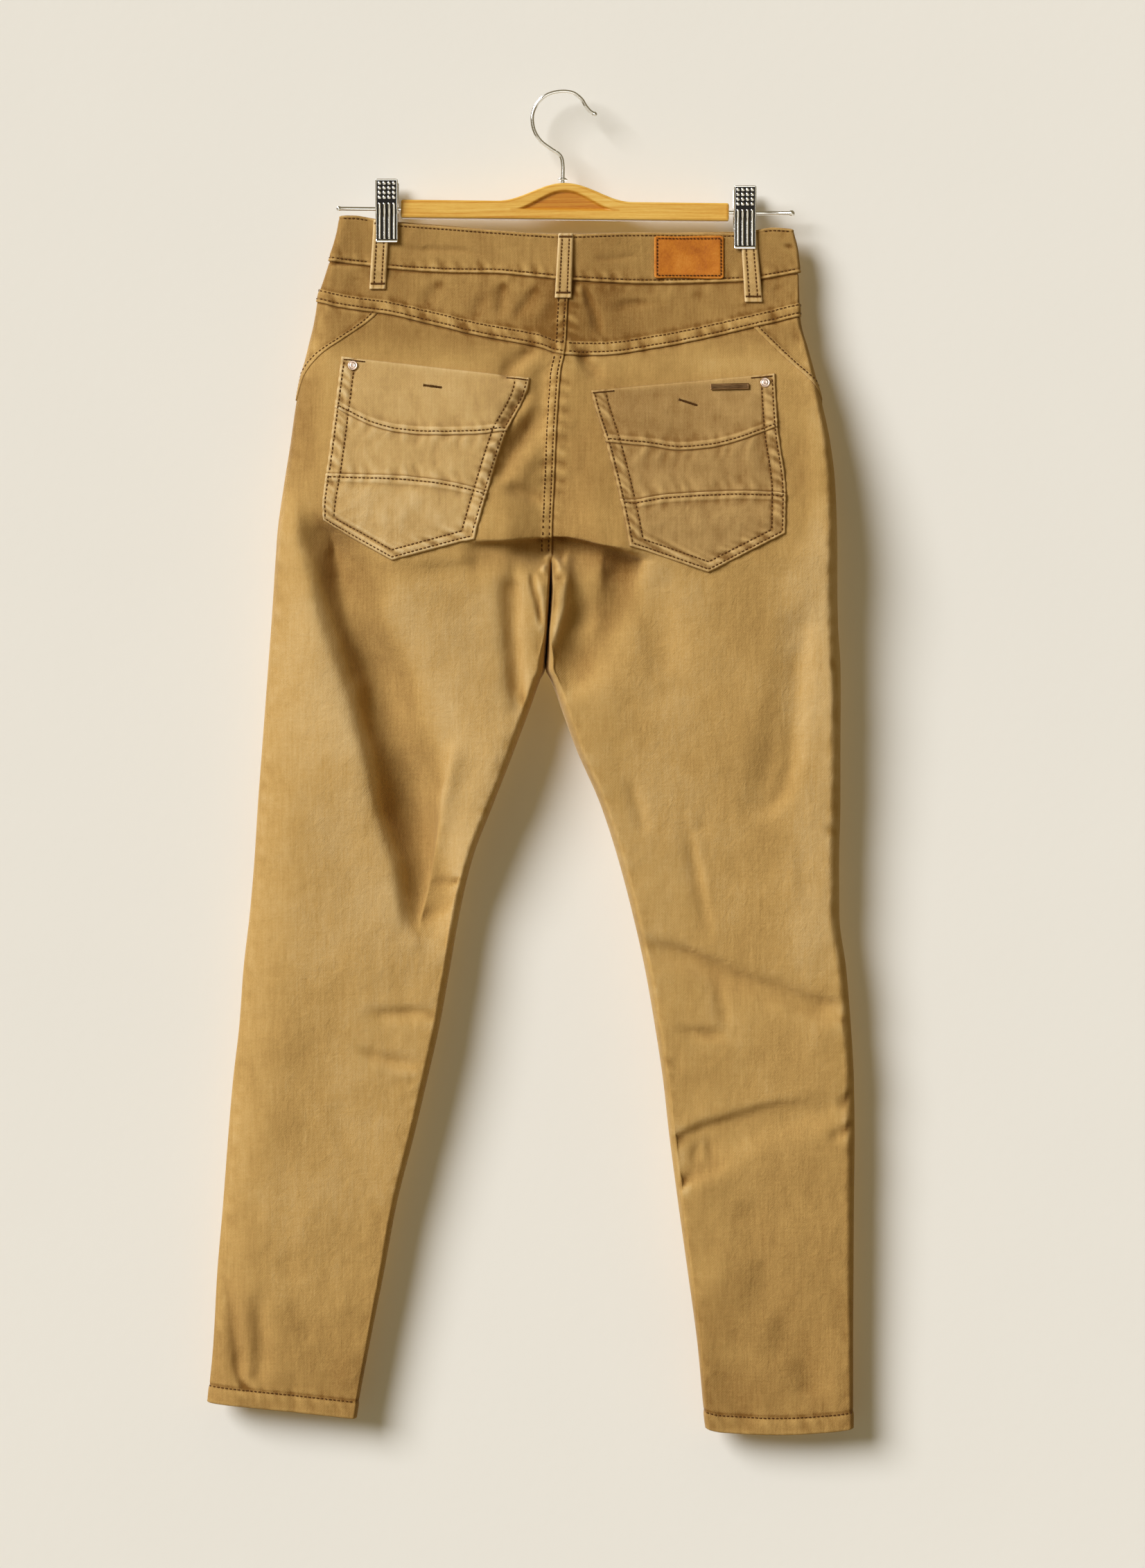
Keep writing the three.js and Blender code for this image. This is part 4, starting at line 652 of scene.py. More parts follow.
CREASES_FRONT = [
    C([(-12, -330), (-60, -352), (-120, -380), (-176, -396)], -3.0, 6, 9),
    C([(-10, -352), (-70, -384), (-130, -416)], -2.2, 6, 8),
    C([(-14, -372), (-50, -410), (-78, -452)], -2.0, 6),
    C([(8, -334), (60, -358), (120, -396), (172, -420)], -3.0, 9, 6),
    C([(8, -356), (60, -392), (110, -430)], -2.2, 8, 6),
    C([(6, -374), (40, -414), (64, -456)], -2.0, 6),
    C([(-60, -366), (-120, -398), (-170, -410)], 1.5, 8),
    C([(60, -372), (120, -410), (170, -440)], 1.5, 8),
    C([(-140, -236), (-120, -262), (-96, -276)], -1.4, 7),
    C([(140, -240), (118, -264), (92, -284)], -1.4, 7),
    C([(-30, -190), (-44, -216), (-52, -246)], -1.0, 4),
    C([(40, -186), (52, -214), (58, -250)], -1.0, 4),
    C([(-74, -600), (-130, -640), (-190, -662), (-238, -668)], -3.2, 5, 8, (0.2, 0.25)),
    C([(-84, -588), (-140, -624), (-200, -646)], 1.7, 6),
    C([(-92, -650), (-150, -690), (-214, -716)], -2.6, 4.5, 7),
    C([(-100, -700), (-160, -720), (-230, -742)], -2.0, 6),
    C([(-108, -736), (-170, -744), (-244, -770)], -1.5, 6),
    C([(60, -640), (120, -668), (180, -676), (226, -664)], -3.2, 8, 5, (0.2, 0.25)),
    C([(64, -690), (120, -716), (190, -722), (228, -712)], -2.6, 7, 4.5),
    C([(66, -676), (128, -700), (200, -706)], 1.6, 6),
    C([(72, -740), (136, -756), (214, -770)], -1.8, 6),
    C([(-210, -440), (-196, -520), (-180, -600)], -2.4, 12),
    C([(-226, -470), (-214, -560), (-206, -640)], 1.3, 10),
    C([(196, -440), (186, -520), (176, -600)], -2.4, 12),
    C([(-130, -460), (-138, -560)], 1.3, 16),
    C([(110, -480), (116, -580)], 1.3, 16),
    C([(-230, -820), (-238, -900), (-240, -980)], -2.0, 10),
    C([(-176, -860), (-190, -950), (-206, -1030)], -1.8, 9),
    C([(-262, -1010), (-268, -1090)], -2.2, 6, 6, (0.4, 0.0)),
    C([(-214, -1030), (-216, -1098)], -1.8, 7, 7, (0.4, 0.0)),
    C([(120, -800), (130, -890), (140, -970)], -2.0, 10),
    C([(206, -840), (204, -940), (208, -1010)], -1.8, 9),
    C([(150, -1040), (152, -1112)], -2.0, 6, 6, (0.4, 0.0)),
    C([(214, -1050), (214, -1112)], -1.8, 7, 7, (0.4, 0.0)),
    C([(96, -880), (150, -868), (206, -846)], -1.8, 5),
    C([(-128, -850), (-180, -838), (-240, -842)], -1.6, 5),
]


def flowing(points):
    """The line through points with its corners cut twice."""
    p = np.array(points, float)
    for _ in range(2):
        if len(p) > 2:
            q = np.stack([0.75 * p[:-1] + 0.25 * p[1:], 0.25 * p[:-1] + 0.75 * p[1:]], 1).reshape(-1, 2)
            p = np.concatenate([p[:1], q[1:-1], p[-1:]])
    return p


def creases(table, x, z):
    h = np.zeros_like(x)
    wx = x + 3.0 * lattice(x / 46, z / 52, 131) + 0.8 * lattice(x / 17, z / 19, 132)
    wz = z + 3.0 * lattice(x / 50 + 7, z / 46 + 3, 133) + 0.8 * lattice(x / 19, z / 17, 134)
    for pts, high, wl, wr, (f0, f1), under in table:
        soft = 1 - smooth((abs(high) - 1.8) / 1.8)  # the slight ones are broad and faint
        high, wl, wr = high * (0.92 - 0.38 * soft), wl * (1 + 0.45 * soft), wr * (1 + 0.45 * soft)
        p = flowing(pts)
        reach = 2.7 * max(wl, wr) + 5
        lo, hi = p.min(0) - reach, p.max(0) + reach
        m = (x > lo[0]) & (x < hi[0]) & (z > lo[1]) & (z < hi[1])
        if not m.any():
            continue
        xs, zs = wx[m], wz[m]
        seg = np.linalg.norm(np.diff(p, axis=0), axis=1)
        run = np.concatenate([[0], np.cumsum(seg)])
        best = np.full(xs.shape, 1e9)
        at = np.zeros_like(xs)
        sign = np.ones_like(xs)
        for i in range(len(p) - 1):
            d = p[i + 1] - p[i]
            t = np.clip(((xs - p[i, 0]) * d[0] + (zs - p[i, 1]) * d[1]) / (d @ d), 0, 1)
            ox, oz = xs - p[i, 0] - t * d[0], zs - p[i, 1] - t * d[1]
            dist = np.hypot(ox, oz)
            near = dist < best
            best = np.where(near, dist, best)
            at = np.where(near, (run[i] + t * seg[i]) / run[-1], at)
            sign = np.where(near, np.sign(d[0] * oz - d[1] * ox), sign)  # + is the left of the walk
        w = np.where(sign > 0, wl, wr)
        w = w * (0.72 + 0.28 * np.sin(np.pi * np.clip(at, 0, 1)))
        along = (smooth(at / f0) if f0 > 0 else 1) * (smooth((1 - at) / f1) if f1 > 0 else 1)
        wave = 1 + 0.16 * np.sin(at * run[-1] / 17.0 + len(pts) * 2.1 + pts[0][0] * 0.13)
        if under:
            along = along * smooth((SEAT_FOLD(x[m]) - 3 - z[m]) / 9)
        h[m] += high * along * wave * np.exp(-((best / w) ** 2))
    return h


def rumple(x, z, face):
    """The soft unevenness that washing leaves all over."""
    s = np.where(face < 0, 0.0, 61.0)
    calm = smooth((z + 1124) / 60) * 0.5 + 0.5
    upper = 0.45 + 0.55 * smooth((-230 - z) / 90)
    h = 0.9 * lattice(x / 58 + s, z / 96 + s, 3)
    h += 0.55 * lattice(x / 27 + s + 0.35 * lattice(x / 60, z / 60, 21), z / 40 + s, 5)
    h += 0.26 * lattice((x + 0.35 * z) / 13 + s, (z - 0.3 * x) / 24 + s, 9)
    h += 0.16 * lattice((x - 0.5 * z) / 8.5 + s, (z + 0.4 * x) / 15 + s, 13)
    h += 0.08 * lattice(x / 4.6 + s, z / 6.5 + s, 17)
    return h * calm * upper


def seam_roping(along, off, amp, reach, seed, pitch=7.5):
    """Puckers where a seam's stitches draw the cloth in: slanted ridges that die away from the seam."""
    v = lattice(along / pitch + off * 0.045, off / 26 + 3.7, seed)
    w = lattice(along / (pitch * 2.3), off / 40 + 9.1, seed + 40)
    return amp * (v + 0.5 * w) * np.exp(-((off / reach) ** 2))


def seams_back(x, z, side):
    h = np.zeros_like(x)
    d = z - YOKE(x)
    h += seam_roping(x, d - 5, 1.25, 9, 31) * (z < -150)
    inn = np.where(side < 0, IN_L(z), IN_R(z))
    a = np.abs(x - inn)
    upper = smooth((z + 392) / 12)
    h += seam_roping(z, a - 4, 1.15, 8, 33) * upper * (z < -158)
    hip = np.where(side < 0, -HIP_L(z), HIP_R(z))
    h += seam_roping(z, np.abs(np.abs(x) - hip), 0.55, 7, 35) * (z > -262) * (z < -176)
    d2 = BAND_BACK(x) - z
    h += seam_roping(x, np.abs(d2), 0.5, 8, 37) * (d2 > -1)
    hem = np.where(side < 0, HEM_L(x), HEM_R(x))
    h += seam_roping(x, z - hem - 12, 0.75, 11, 39, 9.0)
    legs = smooth((-400 - z) / 40)
    out = np.where(side < 0, OUT_L(z), OUT_R(z))
    h += seam_roping(z, a - 4, 0.45, 7, 41, 11) * legs
    h += seam_roping(z, np.abs(x - out) - 5, 0.5, 7, 43, 11)
    return h


def seams_front(x, z, side):
    h = np.zeros_like(x)
    hem = np.where(side < 0, HEM_L(x), HEM_R(x))
    h += seam_roping(x, z - hem - 12, 0.75, 11, 49, 9.0)
    d2 = BAND_FRONT(x) - z
    h += seam_roping(x, np.abs(d2), 0.5, 8, 51) * (d2 > -1)
    a = np.abs(x - 5)
    h += seam_roping(z, a - 3, 0.6, 9, 53) * (z > -392)
    m = np.abs(np.abs(x) - MOUTH(z))
    h += seam_roping(z, m, 0.5, 7, 55) * (z > -255)
    inn = np.where(side < 0, IN_L(z), IN_R(z))
    out = np.where(side < 0, OUT_L(z), OUT_R(z))
    h += seam_roping(z, np.abs(x - inn) - 4, 0.45, 7, 57, 11) * smooth((-400 - z) / 40)
    h += seam_roping(z, np.abs(x - out) - 5, 0.5, 7, 59, 11)
    return h


def relief(side, face, x, z):
    inn, out = edges(side, z)
    a, b = np.abs(x - inn), np.abs(out - x)
    side_fade = smooth(b / 7)
    leg = smooth((-383 - z) / 13)
    in_fade = 1 - leg * (1 - smooth(a / 7))
    back = face < 0
    h = np.zeros_like(x)
    if back.any():
        h = np.where(back, creases(CREASES_BACK, x, z) + seams_back(x, z, side), h)
    if (~back).any():
        h = np.where(~back, creases(CREASES_FRONT, x, z) + seams_front(x, z, side), h)
    h = h + rumple(x, z, face)
    band = smooth((BAND_BACK(x) + 4 - z) / 10)  # the folded band lies flatter than the cloth below it
    h = h * (0.25 + 0.75 * band)
    return h * side_fade * in_fade


def surface(side, q, z, lift):
    """Places on the cloth, lifted off it, and the relief that is in them."""
    side = np.broadcast_to(np.asarray(side, float), np.shape(z)).copy()
    base = spot(side, q, z)
    n = outward(side, q, z)
    face = np.where(q <= 1, -1.0, 1.0)
    h = relief(side, face, base[..., 0], base[..., 2])
    p = base + n * (h + lift)[..., None]
    # The seat rolls over and hangs a little below its own fold line.
    x, d = base[..., 0], base[..., 2] - SEAT_FOLD(base[..., 0])
    along = smooth((x + 88) / 44) * smooth((70 - x) / 44) * (face < 0)
    p[..., 2] -= along * 4.2 * np.exp(-(((d - 1.0) / 5.5) ** 2)) * smooth((d + 7) / 6)
    return p, h, n


def on_face(side, face, x, z, lift):
    x, z = np.asarray(x, float), np.asarray(z, float)
    side = np.broadcast_to(np.asarray(side, float), z.shape)
    return surface(side, q_at(side, face, x, z), z, lift)


# ---------------------------------------------------------------- meshes
def mesh_object(name, verts, quads=(), tris=(), mat=None, attrs=None, smooth_faces=True):
    me = bpy.data.meshes.new(name)
    verts = np.asarray(verts, float) * MM
    quads, tris = np.asarray(quads, np.int64).reshape(-1, 4), np.asarray(tris, np.int64).reshape(-1, 3)
    loops = np.concatenate([quads.ravel(), tris.ravel()])
    me.vertices.add(len(verts))
    me.vertices.foreach_set("co", verts.astype(np.float32).ravel())
    me.loops.add(len(loops))
    me.loops.foreach_set("vertex_index", loops.astype(np.int32))
    me.polygons.add(len(quads) + len(tris))
    starts = np.concatenate([np.arange(len(quads)) * 4, len(quads) * 4 + np.arange(len(tris)) * 3])
    me.polygons.foreach_set("loop_start", starts.astype(np.int32))
    me.update(calc_edges=True)
    me.validate()
    if smooth_faces:
        me.polygons.foreach_set("use_smooth", np.ones(len(me.polygons), bool))
    for key, values in (attrs or {}).items():
        at = me.attributes.new(key, "FLOAT", "POINT")
        at.data.foreach_set("value", np.asarray(values, np.float32))
    o = bpy.data.objects.new(name, me)
    scene.collection.objects.link(o)
    if mat is not None:
        me.materials.append(mat)
    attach(o, "root")
    return o


def blur(a, k):
    if k < 1:
        return a
    w = np.exp(-0.5 * (np.arange(-2 * k, 2 * k + 1) / k) ** 2)
    w /= w.sum()
    for axis in (0, 1):
        pad = [(2 * k, 2 * k) if i == axis else (0, 0) for i in (0, 1)]
        b = np.pad(a, pad, mode="edge")
        a = np.apply_along_axis(lambda v: np.convolve(v, w, mode="valid"), axis, b)
    return a


# Wear is the real lightening of the crests; the second mask darkens the troughs as painted shade.
def worn_and_hollow(h, k=4, gain=0.9):
    d = h - blur(h, k)
    return np.clip(d * gain, 0, 1), np.clip(-d * gain, 0, 1)


def grid_shell(name, outer, inner, mat, nodes, wear=None, hollow=None, bulge=0.3, dye_and_painted_light=None):
    """A closed shell between two grids of places, its rim rounded."""
    h, w = outer.shape[:2]
    n = h * w
    ids = np.arange(n).reshape(h, w)
    a, b, c, d = ids[:-1, :-1].ravel(), ids[1:, :-1].ravel(), ids[1:, 1:].ravel(), ids[:-1, 1:].ravel()
    quads = [np.stack([a, b, c, d], 1), np.stack([a, d, c, b], 1) + n]
    # rim: outer edge, a bulging middle loop, inner edge
    loop = np.concatenate([ids[0, :], ids[1:, -1], ids[-1, -2::-1], ids[-2:0:-1, 0]])
    inward = np.concatenate([ids[1, :], ids[1:, -2], ids[-2, -2::-1], ids[-2:0:-1, 1]])
    O, I = outer.reshape(-1, 3), inner.reshape(-1, 3)
    away = O[loop] - O[inward]
    away /= np.maximum(np.linalg.norm(away, axis=1, keepdims=True), 1e-6)
    thick = np.linalg.norm(O[loop] - I[loop], axis=1, keepdims=True)
    mid = (O[loop] + I[loop]) / 2 + away * thick * bulge
    m0, k = 2 * n, len(loop)
    i, j = np.arange(k), (np.arange(k) + 1) % k
    quads += [np.stack([loop[i], m0 + i, m0 + j, loop[j]][::-1], 1), np.stack([m0 + i, loop[i] + n, loop[j] + n, m0 + j][::-1], 1)]
    verts = np.concatenate([O, I, mid])
    quads = np.concatenate(quads)
    v = verts[quads]
    volume = (v[:, 0] * np.cross(v[:, 1], v[:, 2])).sum() + (v[:, 0] * np.cross(v[:, 2], v[:, 3])).sum()
    if volume < 0:
        quads = quads[:, ::-1]
    z = np.zeros((h, w))
    we, ho = (z if wear is None else wear).ravel(), (z if hollow is None else hollow).ravel()
    ti = (z if dye_and_painted_light is None else dye_and_painted_light + z).ravel()
    attrs = {"wear": np.concatenate([we, we * 0, np.clip(we[loop] + 0.2, 0, 1)]), "hollow": np.concatenate([ho, ho * 0, ho[loop]]), "dye_and_painted_light": np.concatenate([ti, ti, ti[loop]])}
    o = mesh_object(name, verts, quads, mat=mat, attrs=attrs)
    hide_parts(*nodes)
    return o


def dye_and_painted_light_of(x, z, face):
    """Tone over the garment: random unevenness of the dye; darker bands at the top and towards the bottom and darker
    patches at the centre of the back; painted light on the upper thighs, the right hip, the right leg's side and a
    ridge of the left leg; painted shade along the left hip's edge and beside the left pocket, and a painted shadow
    under the seat's fold.
    """
    t = 0.05 * lattice(x / 90 + 2.2, z / 150 + 5.1, 111) + 0.03 * lattice(x / 34, z / 50, 112)
    t = t - np.where(face < 0, 0.22 * smooth((z + 232) / 30), 0.10 * smooth((z + 300) / 130)) - 0.18 * smooth((-900 - z) / 200)
    t = t - 0.05 * smooth((x - 40) / 120) * smooth((-230 - z) / 60)
    back = np.where(face < 0, 1.0, 0.3)
    # painted shade along the left hip's edge
    t = t - 0.20 * back * smooth((-196 - x) / 16) * smooth((-215 - z) / 30) * smooth((z + 350) / 50)
    t = t - 0.20 * back * np.exp(-((x / 66) ** 2)) * smooth((z + 235) / 30) * smooth((-150 - z) / 14)
    t = t - 0.14 * back * np.exp(-(((x - 14) / 40) ** 2)) * smooth((-225 - z) / 20) * smooth((z + 400) / 30)
    t = t - 0.07 * back * smooth((x + 20) / 60) * smooth((-225 - z) / 20) * smooth((z + 420) / 60)
    # painted light on the left thigh
    t = t + 0.15 * back * np.exp(-(((x + 150) / 95) ** 2) - ((z + 500) / 190) ** 2) * smooth((-392 - z) / 50)
    # painted shadow under the seat's fold
    seat = smooth((x + 92) / 30) * smooth((74 - x) / 30)
    t = t - 0.13 * back * seat * np.exp(-(((z - SEAT_FOLD(x) + 14) / 12) ** 2))
    # painted shade beside the left pocket's inner edge
    t = t - 0.12 * back * np.exp(-(((x + 46) / 22) ** 2)) * smooth((-212 - z) / 20) * smooth((z + 345) / 40)
    # painted light on a ridge of the left leg
    t = t + 0.12 * back * np.exp(-(((x + 75) / 45) ** 2) - ((z + 640) / 120) ** 2)
    # painted light on the right leg's side
    t = t + 0.20 * back * smooth((x - 165) / 40) * smooth((-330 - z) / 60) * smooth((z + 760) / 90)
    # painted light on the right hip's edge
    t = t + 0.16 * back * smooth((x - 198) / 14) * smooth((-245 - z) / 30) * smooth((z + 420) / 60)
    # painted light on the right thigh
    t = t + 0.08 * back * np.exp(-(((x - 110) / 70) ** 2) - ((z + 520) / 130) ** 2)
    return t


def near_seams(x, z):
    """1 along the seams and hems, falling to little in the open cloth."""
    side = np.where(x < IN_L(z), -1.0, 1.0)
    inn, out = edges(side, z)
    d = np.minimum(np.abs(x - inn), np.abs(out - x))
    d = np.minimum(d, np.minimum(np.abs(z - YOKE(x) - 5), np.abs(z - BAND_BACK(x))))
    hem = np.where(side < 0, HEM_L(x), HEM_R(x))
    hip = np.where(side < 0, -HIP_L(z), HIP_R(z))
    d = np.minimum(np.minimum(d, np.abs(z - hem - 10)), np.where(z > -262, np.abs(np.abs(x) - hip), 99))
    return 0.12 + 0.88 * smooth((16 - d) / 9)


def cloth_shell(name, outer, inner, height, x, z, face, rim, hollow, mat, dye_and_painted_light=0.0, grain=3, gain=1.5):
    we, ho = worn_and_hollow(height, grain, gain)
    if mat is CLOTH:
        near = near_seams(x, z)
        we, ho = we * near, ho * near
        # painted shade: the deepest troughs dyed darker
        dye_and_painted_light = dye_and_painted_light - 0.27 * smooth((-height - 2.2) / 12)
    we = np.clip(0.6 * we + rim * (0.55 + 0.5 * lattice(x / 6, z / 6, 141)), 0, 1)
    ho = np.clip(0.75 * ho + hollow, 0, 1)
    return grid_shell("v_" + name, outer, inner, mat, [name], we, ho, dye_and_painted_light=dye_and_painted_light_of(x, z, face) + dye_and_painted_light)


def spread(n, k=0.5):
    u = np.linspace(0, 1, n + 1)
    return u * (1 - k) + k * (1 - np.cos(np.pi * u)) / 2


def rows_by(top, low, step):
    """Row fractions of a long panel: step(z) is the spacing wanted at a height."""
    z, out = top, [top]
    while z > low:
        z -= step(z)
        out.append(z)
    out = np.array(out)
    return (top - out) / (top - out[-1])


def panel(side, start, end, top, low, s, t, seed_z):
    """Solves the places of a panel between two lines that run down it and two that cross it."""
    S, T = np.meshgrid(s, t)
    z = np.full(S.shape, float(seed_z))
    q = S.copy()
    sd = np.full(S.shape, float(side))
    for k in range(16):
        q = start(z) + (end(z) - start(z)) * S
        x = spot(sd, q, z)[..., 0]
        target = top(x) * (1 - T) + low(x) * T
        z = target if k == 0 else z + 0.8 * (target - z)
    return sd, q, z, S, T


GAP = 0.12


def q_hip(side):
    hip = HIP_L if side < 0 else HIP_R
    return lambda z: np.where(z <= HIP_END, 1.0, q_at(np.full(np.shape(z), float(side)), -1, hip(np.maximum(z, HIP_END)), z))


def q_mouth(side):
    return lambda z: np.where(z <= HIP_END, 1.0, q_at(np.full(np.shape(z), float(side)), 1, side * MOUTH(np.maximum(z, HIP_END)), z))


def topstitched(d, at, rim=0.3, dent=0.3):
    """Profile across a topstitched edge: puffed at the rim, drawn in under the stitches."""
    return rim * np.exp(-(((d - 1.0) / 1.3) ** 2)) - dent * np.exp(-(((d - at) / 0.8) ** 2))


# How far each piece's cloth stands off the surface, seams and turned edges with it. Its stitches use the same.
def lift_hem(side, x, z):
    up = z - (HEM_L(x) if side < 0 else HEM_R(x))
    return 0.5 * smooth((14.2 - up) / 1.5) - 0.5 * np.exp(-(((up - 14.6) / 1.0) ** 2)) - 0.2 * np.exp(-(((up - 12.4) / 0.9) ** 2))


def upper_of(z):
    return smooth((z + 396) / 10)


def lift_back(side, x, z):
    a = np.abs(x - (IN_L(z) if side < 0 else IN_R(z)))
    upper = upper_of(z)
    if side < 0:
        lift = (0.95 * smooth((9.2 - a) / 1.6) + topstitched(a, 2.1, 0.15, 0.35) - 0.35 * np.exp(-(((a - 7.6) / 0.8) ** 2))) * upper
    else:
        lift = -0.6 * np.exp(-((a / 1.6) ** 2)) * upper
    lift = lift + lift_hem(side, x, z)
    return lift - 0.8 * smooth(1 - (YOKE(x) - z) / 2.2)


def lift_yoke(side, x, z):
    a, d = np.abs(x - (IN_L(z) if side < 0 else IN_R(z))), z - YOKE(x)
    felled = 1.0 * smooth((12.0 - d) / 1.8)
    cb = 0.95 * smooth((9.2 - a) / 1.6) * (side < 0)
    lift = np.maximum(felled, cb) + 0.35 * np.minimum(felled, cb)
    lift = lift + topstitched(d, 2.7, 0.25, 0.4) - 0.4 * np.exp(-(((d - 9.7) / 0.8) ** 2))
    lift = lift + (topstitched(a, 2.1, 0.15, 0.35) - 0.35 * np.exp(-(((a - 7.6) / 0.8) ** 2))) * (side < 0)
    lift = lift - 0.6 * np.exp(-((a / 1.6) ** 2)) * (side > 0)
    return lift - 0.5 * smooth(1 - (BAND_BACK(x) - z) / 2.0)


def hip_inset(side, x, z):
    return np.abs(x - (HIP_L(z) if side < 0 else HIP_R(z))) * 0.72


def lift_hip(side, x, z, e=None):
    e = hip_inset(side, x, z) if e is None else e
    return 0.8 * smooth((5.2 - e) / 1.6) + topstitched(e, 3.2, 0.25, 0.4)


def mouth_inset(side, x, z):
    return np.where(z > HIP_END, MOUTH(z) - x * side, 99.0)


def lift_front(side, x, z):
    a = np.abs(x - (IN_L(z) if side < 0 else IN_R(z)))
    m = mouth_inset(side, x, z)
    lift = lift_hem(side, x, z) + 0.6 * smooth((10.5 - m) / 2.0) + topstitched(m, 2.6, 0.2, 0.35) - 0.35 * np.exp(-(((m - 8.4) / 0.8) ** 2))
    return lift + (0.9 if side < 0 else -0.4) * smooth((1.8 - a) / 1.2) * upper_of(z)


def lift_band(top, low, x, z):
    up, down = top(x) - z, z - low(x)
    lift = 1.2 + topstitched(up, 2.4, 0.2, 0.4) + topstitched(down, 3.2, 0.45, 0.4)
    lift = lift - 0.9 * (1 - rounded(np.clip(up / 1.3, 0, 1))) - 0.9 * (1 - rounded(np.clip(down / 1.3, 0, 1)))
    return lift + seam_roping(x, down - 3, 0.8, 8, 71, 6.5) + seam_roping(x, up - 2.5, 0.45, 7, 73, 7.0)


FINE = 1.0


def count(n):
    return max(4, int(n * FINE))


pieces = {}

# ---- back panels
for side, name in ((-1, "left"), (1, "right")):
    hem = HEM_L if side < 0 else HEM_R
    step = lambda z: (1.5 if z > -214 else 2.6 if z > -350 else 1.25 if z > -400 else 2.3 if z > -470 else 2.9 if z > -1070 else 1.7) / FINE
    t = rows_by(-200, -1118, step)
    s = spread(count(98), 0.25)
    sd, q, z, S, T = panel(side, lambda z: 0 * z, q_hip(side), lambda x: YOKE(x) - GAP, hem, s, t, -500)
    x = spot(sd, q, z)[..., 0]
    a = np.abs(x - edges(sd, z)[0])
    up, upper = z - hem(x), upper_of(z)
    lift = lift_back(side, x, z)
    p, h, n = surface(sd, q, z, lift)
    pi = p - n * (1.2 + 1.0 * smooth((14.2 - up) / 1.5) + (0.6 * smooth((9.2 - a) / 1.6) * upper if side < 0 else 0))[..., None]
    rim = 0.5 * np.exp(-((up / 1.6) ** 2)) + 0.35 * np.exp(-((a / 1.6) ** 2)) * upper * (side < 0)
    # painted shade at the right panel's centre-back seam, under the yoke's lapped edge and in the hem's stitch dent
    hol = 0.9 * np.exp(-((a / 1.5) ** 2)) * upper * (side > 0) + 0.55 * smooth(1 - (YOKE(x) - z) / 4.0) + 0.25 * np.exp(-(((up - 15.2) / 1.2) ** 2))
    pieces[f"back_{name}"] = cloth_shell(f"back_{name}", p, pi, h + lift, x, z, -1, rim, hol, CLOTH, grain=2, gain=1.0)

    # ---- front panels
    step = lambda z: (3.0 if z > -260 else 3.6 if z > -460 else 4.2 if z > -1070 else 2.4) / FINE
    t = rows_by(-152, -1118, step)
    s = spread(count(62), 0.25)
    sd, q, z, S, T = panel(side, lambda z: 2 + 0 * z, q_mouth(side), lambda x: BAND_FRONT(x) - GAP, hem, s, t, -500)
    x = spot(sd, q, z)[..., 0]
    up, m = z - hem(x), mouth_inset(side, x, z)
    lift = lift_front(side, x, z)
    p, h, n = surface(sd, q, z, lift)
    pi = p - n * (1.2 + 1.0 * smooth((14.2 - up) / 1.5))[..., None]
    rim = 0.5 * np.exp(-((up / 1.6) ** 2)) + 0.4 * np.exp(-((np.maximum(m, 0) / 1.6) ** 2))
    # painted shade in the hem's stitch dent
    pieces[f"front_{name}"] = cloth_shell(f"front_{name}", p, pi, h + lift, x, z, 1, rim, 0.2 * np.exp(-(((up - 15.2) / 1.2) ** 2)), CLOTH, grain=2, gain=1.0)

    # ---- yokes: the lower edge laps over the panel below
    s = spread(count(96), 0.25)
    t = spread(count(44), 0.35)
    sd, q, z, S, T = panel(side, lambda z: 0 * z, lambda z: 1 + 0 * z, lambda x: BAND_BACK(x) - GAP, lambda x: YOKE(x) + GAP, s, t, -180)
    x = spot(sd, q, z)[..., 0]
    a, d = np.abs(x - edges(sd, z)[0]), z - YOKE(x)
    lift = lift_yoke(side, x, z)
    p, h, n = surface(sd, q, z, lift)
    pi = p - n * (1.2 + 0.75 * smooth((12.0 - d) / 1.8))[..., None]
    rim = 0.4 * np.exp(-((d / 1.5) ** 2)) + 0.3 * np.exp(-((a / 1.5) ** 2)) * (side < 0) + 0.16 * smooth((12 - d) / 2)
    # painted shade at the right yoke's centre-back seam and under the waistband's edge
    hol = 0.9 * np.exp(-((a / 1.5) ** 2)) * (side > 0) + 0.6 * np.exp(-(((BAND_BACK(x) - z) / 2.2) ** 2))
    pieces[f"yoke_{name}"] = cloth_shell(f"yoke_{name}", p, pi, h + lift, x, z, -1, rim, hol, CLOTH)

    # ---- hip pieces: from the diagonal on the back round the side into the pocket mouth
    hipq, mouthq = q_hip(side), q_mouth(side)
    s = np.concatenate([spread(count(26), 0.3) * 0.5, 0.5 + spread(count(44), 0.3)[1:] * 0.5])
    t = spread(count(64), 0.15)
    S, T = np.meshgrid(s, t)
    sd = np.full(S.shape, float(side))
    z = np.full(S.shape, -205.0)
    for k in range(18):
        q = np.where(S < 0.5, hipq(z) + (1 - hipq(z)) * S * 2, 1 + (mouthq(z) - 1) * (S - 0.5) * 2)
        x = spot(sd, q, z)[..., 0]
        top = np.where(S < 0.5, YOKE(x) - GAP, np.where(S > 0.5, BAND_FRONT(x) - GAP, (YOKE(x) + BAND_FRONT(x)) / 2))
        target = top * (1 - T) + (HIP_END + 2.0) * T
        z = z + 0.8 * (target - z)
    x = spot(sd, q, z)[..., 0]
    e = hip_inset(side, x, z) + np.where(S > 0.5, 99, 0)
    lift = lift_hip(side, x, z, e)
    lift -= 0.7 * smooth(1 - (YOKE(x) - z) / 2.2) * (S < 0.5)
    lift -= 0.9 * smooth((S - 0.93) / 0.05)
    p, h, n = surface(sd, q, z, lift)
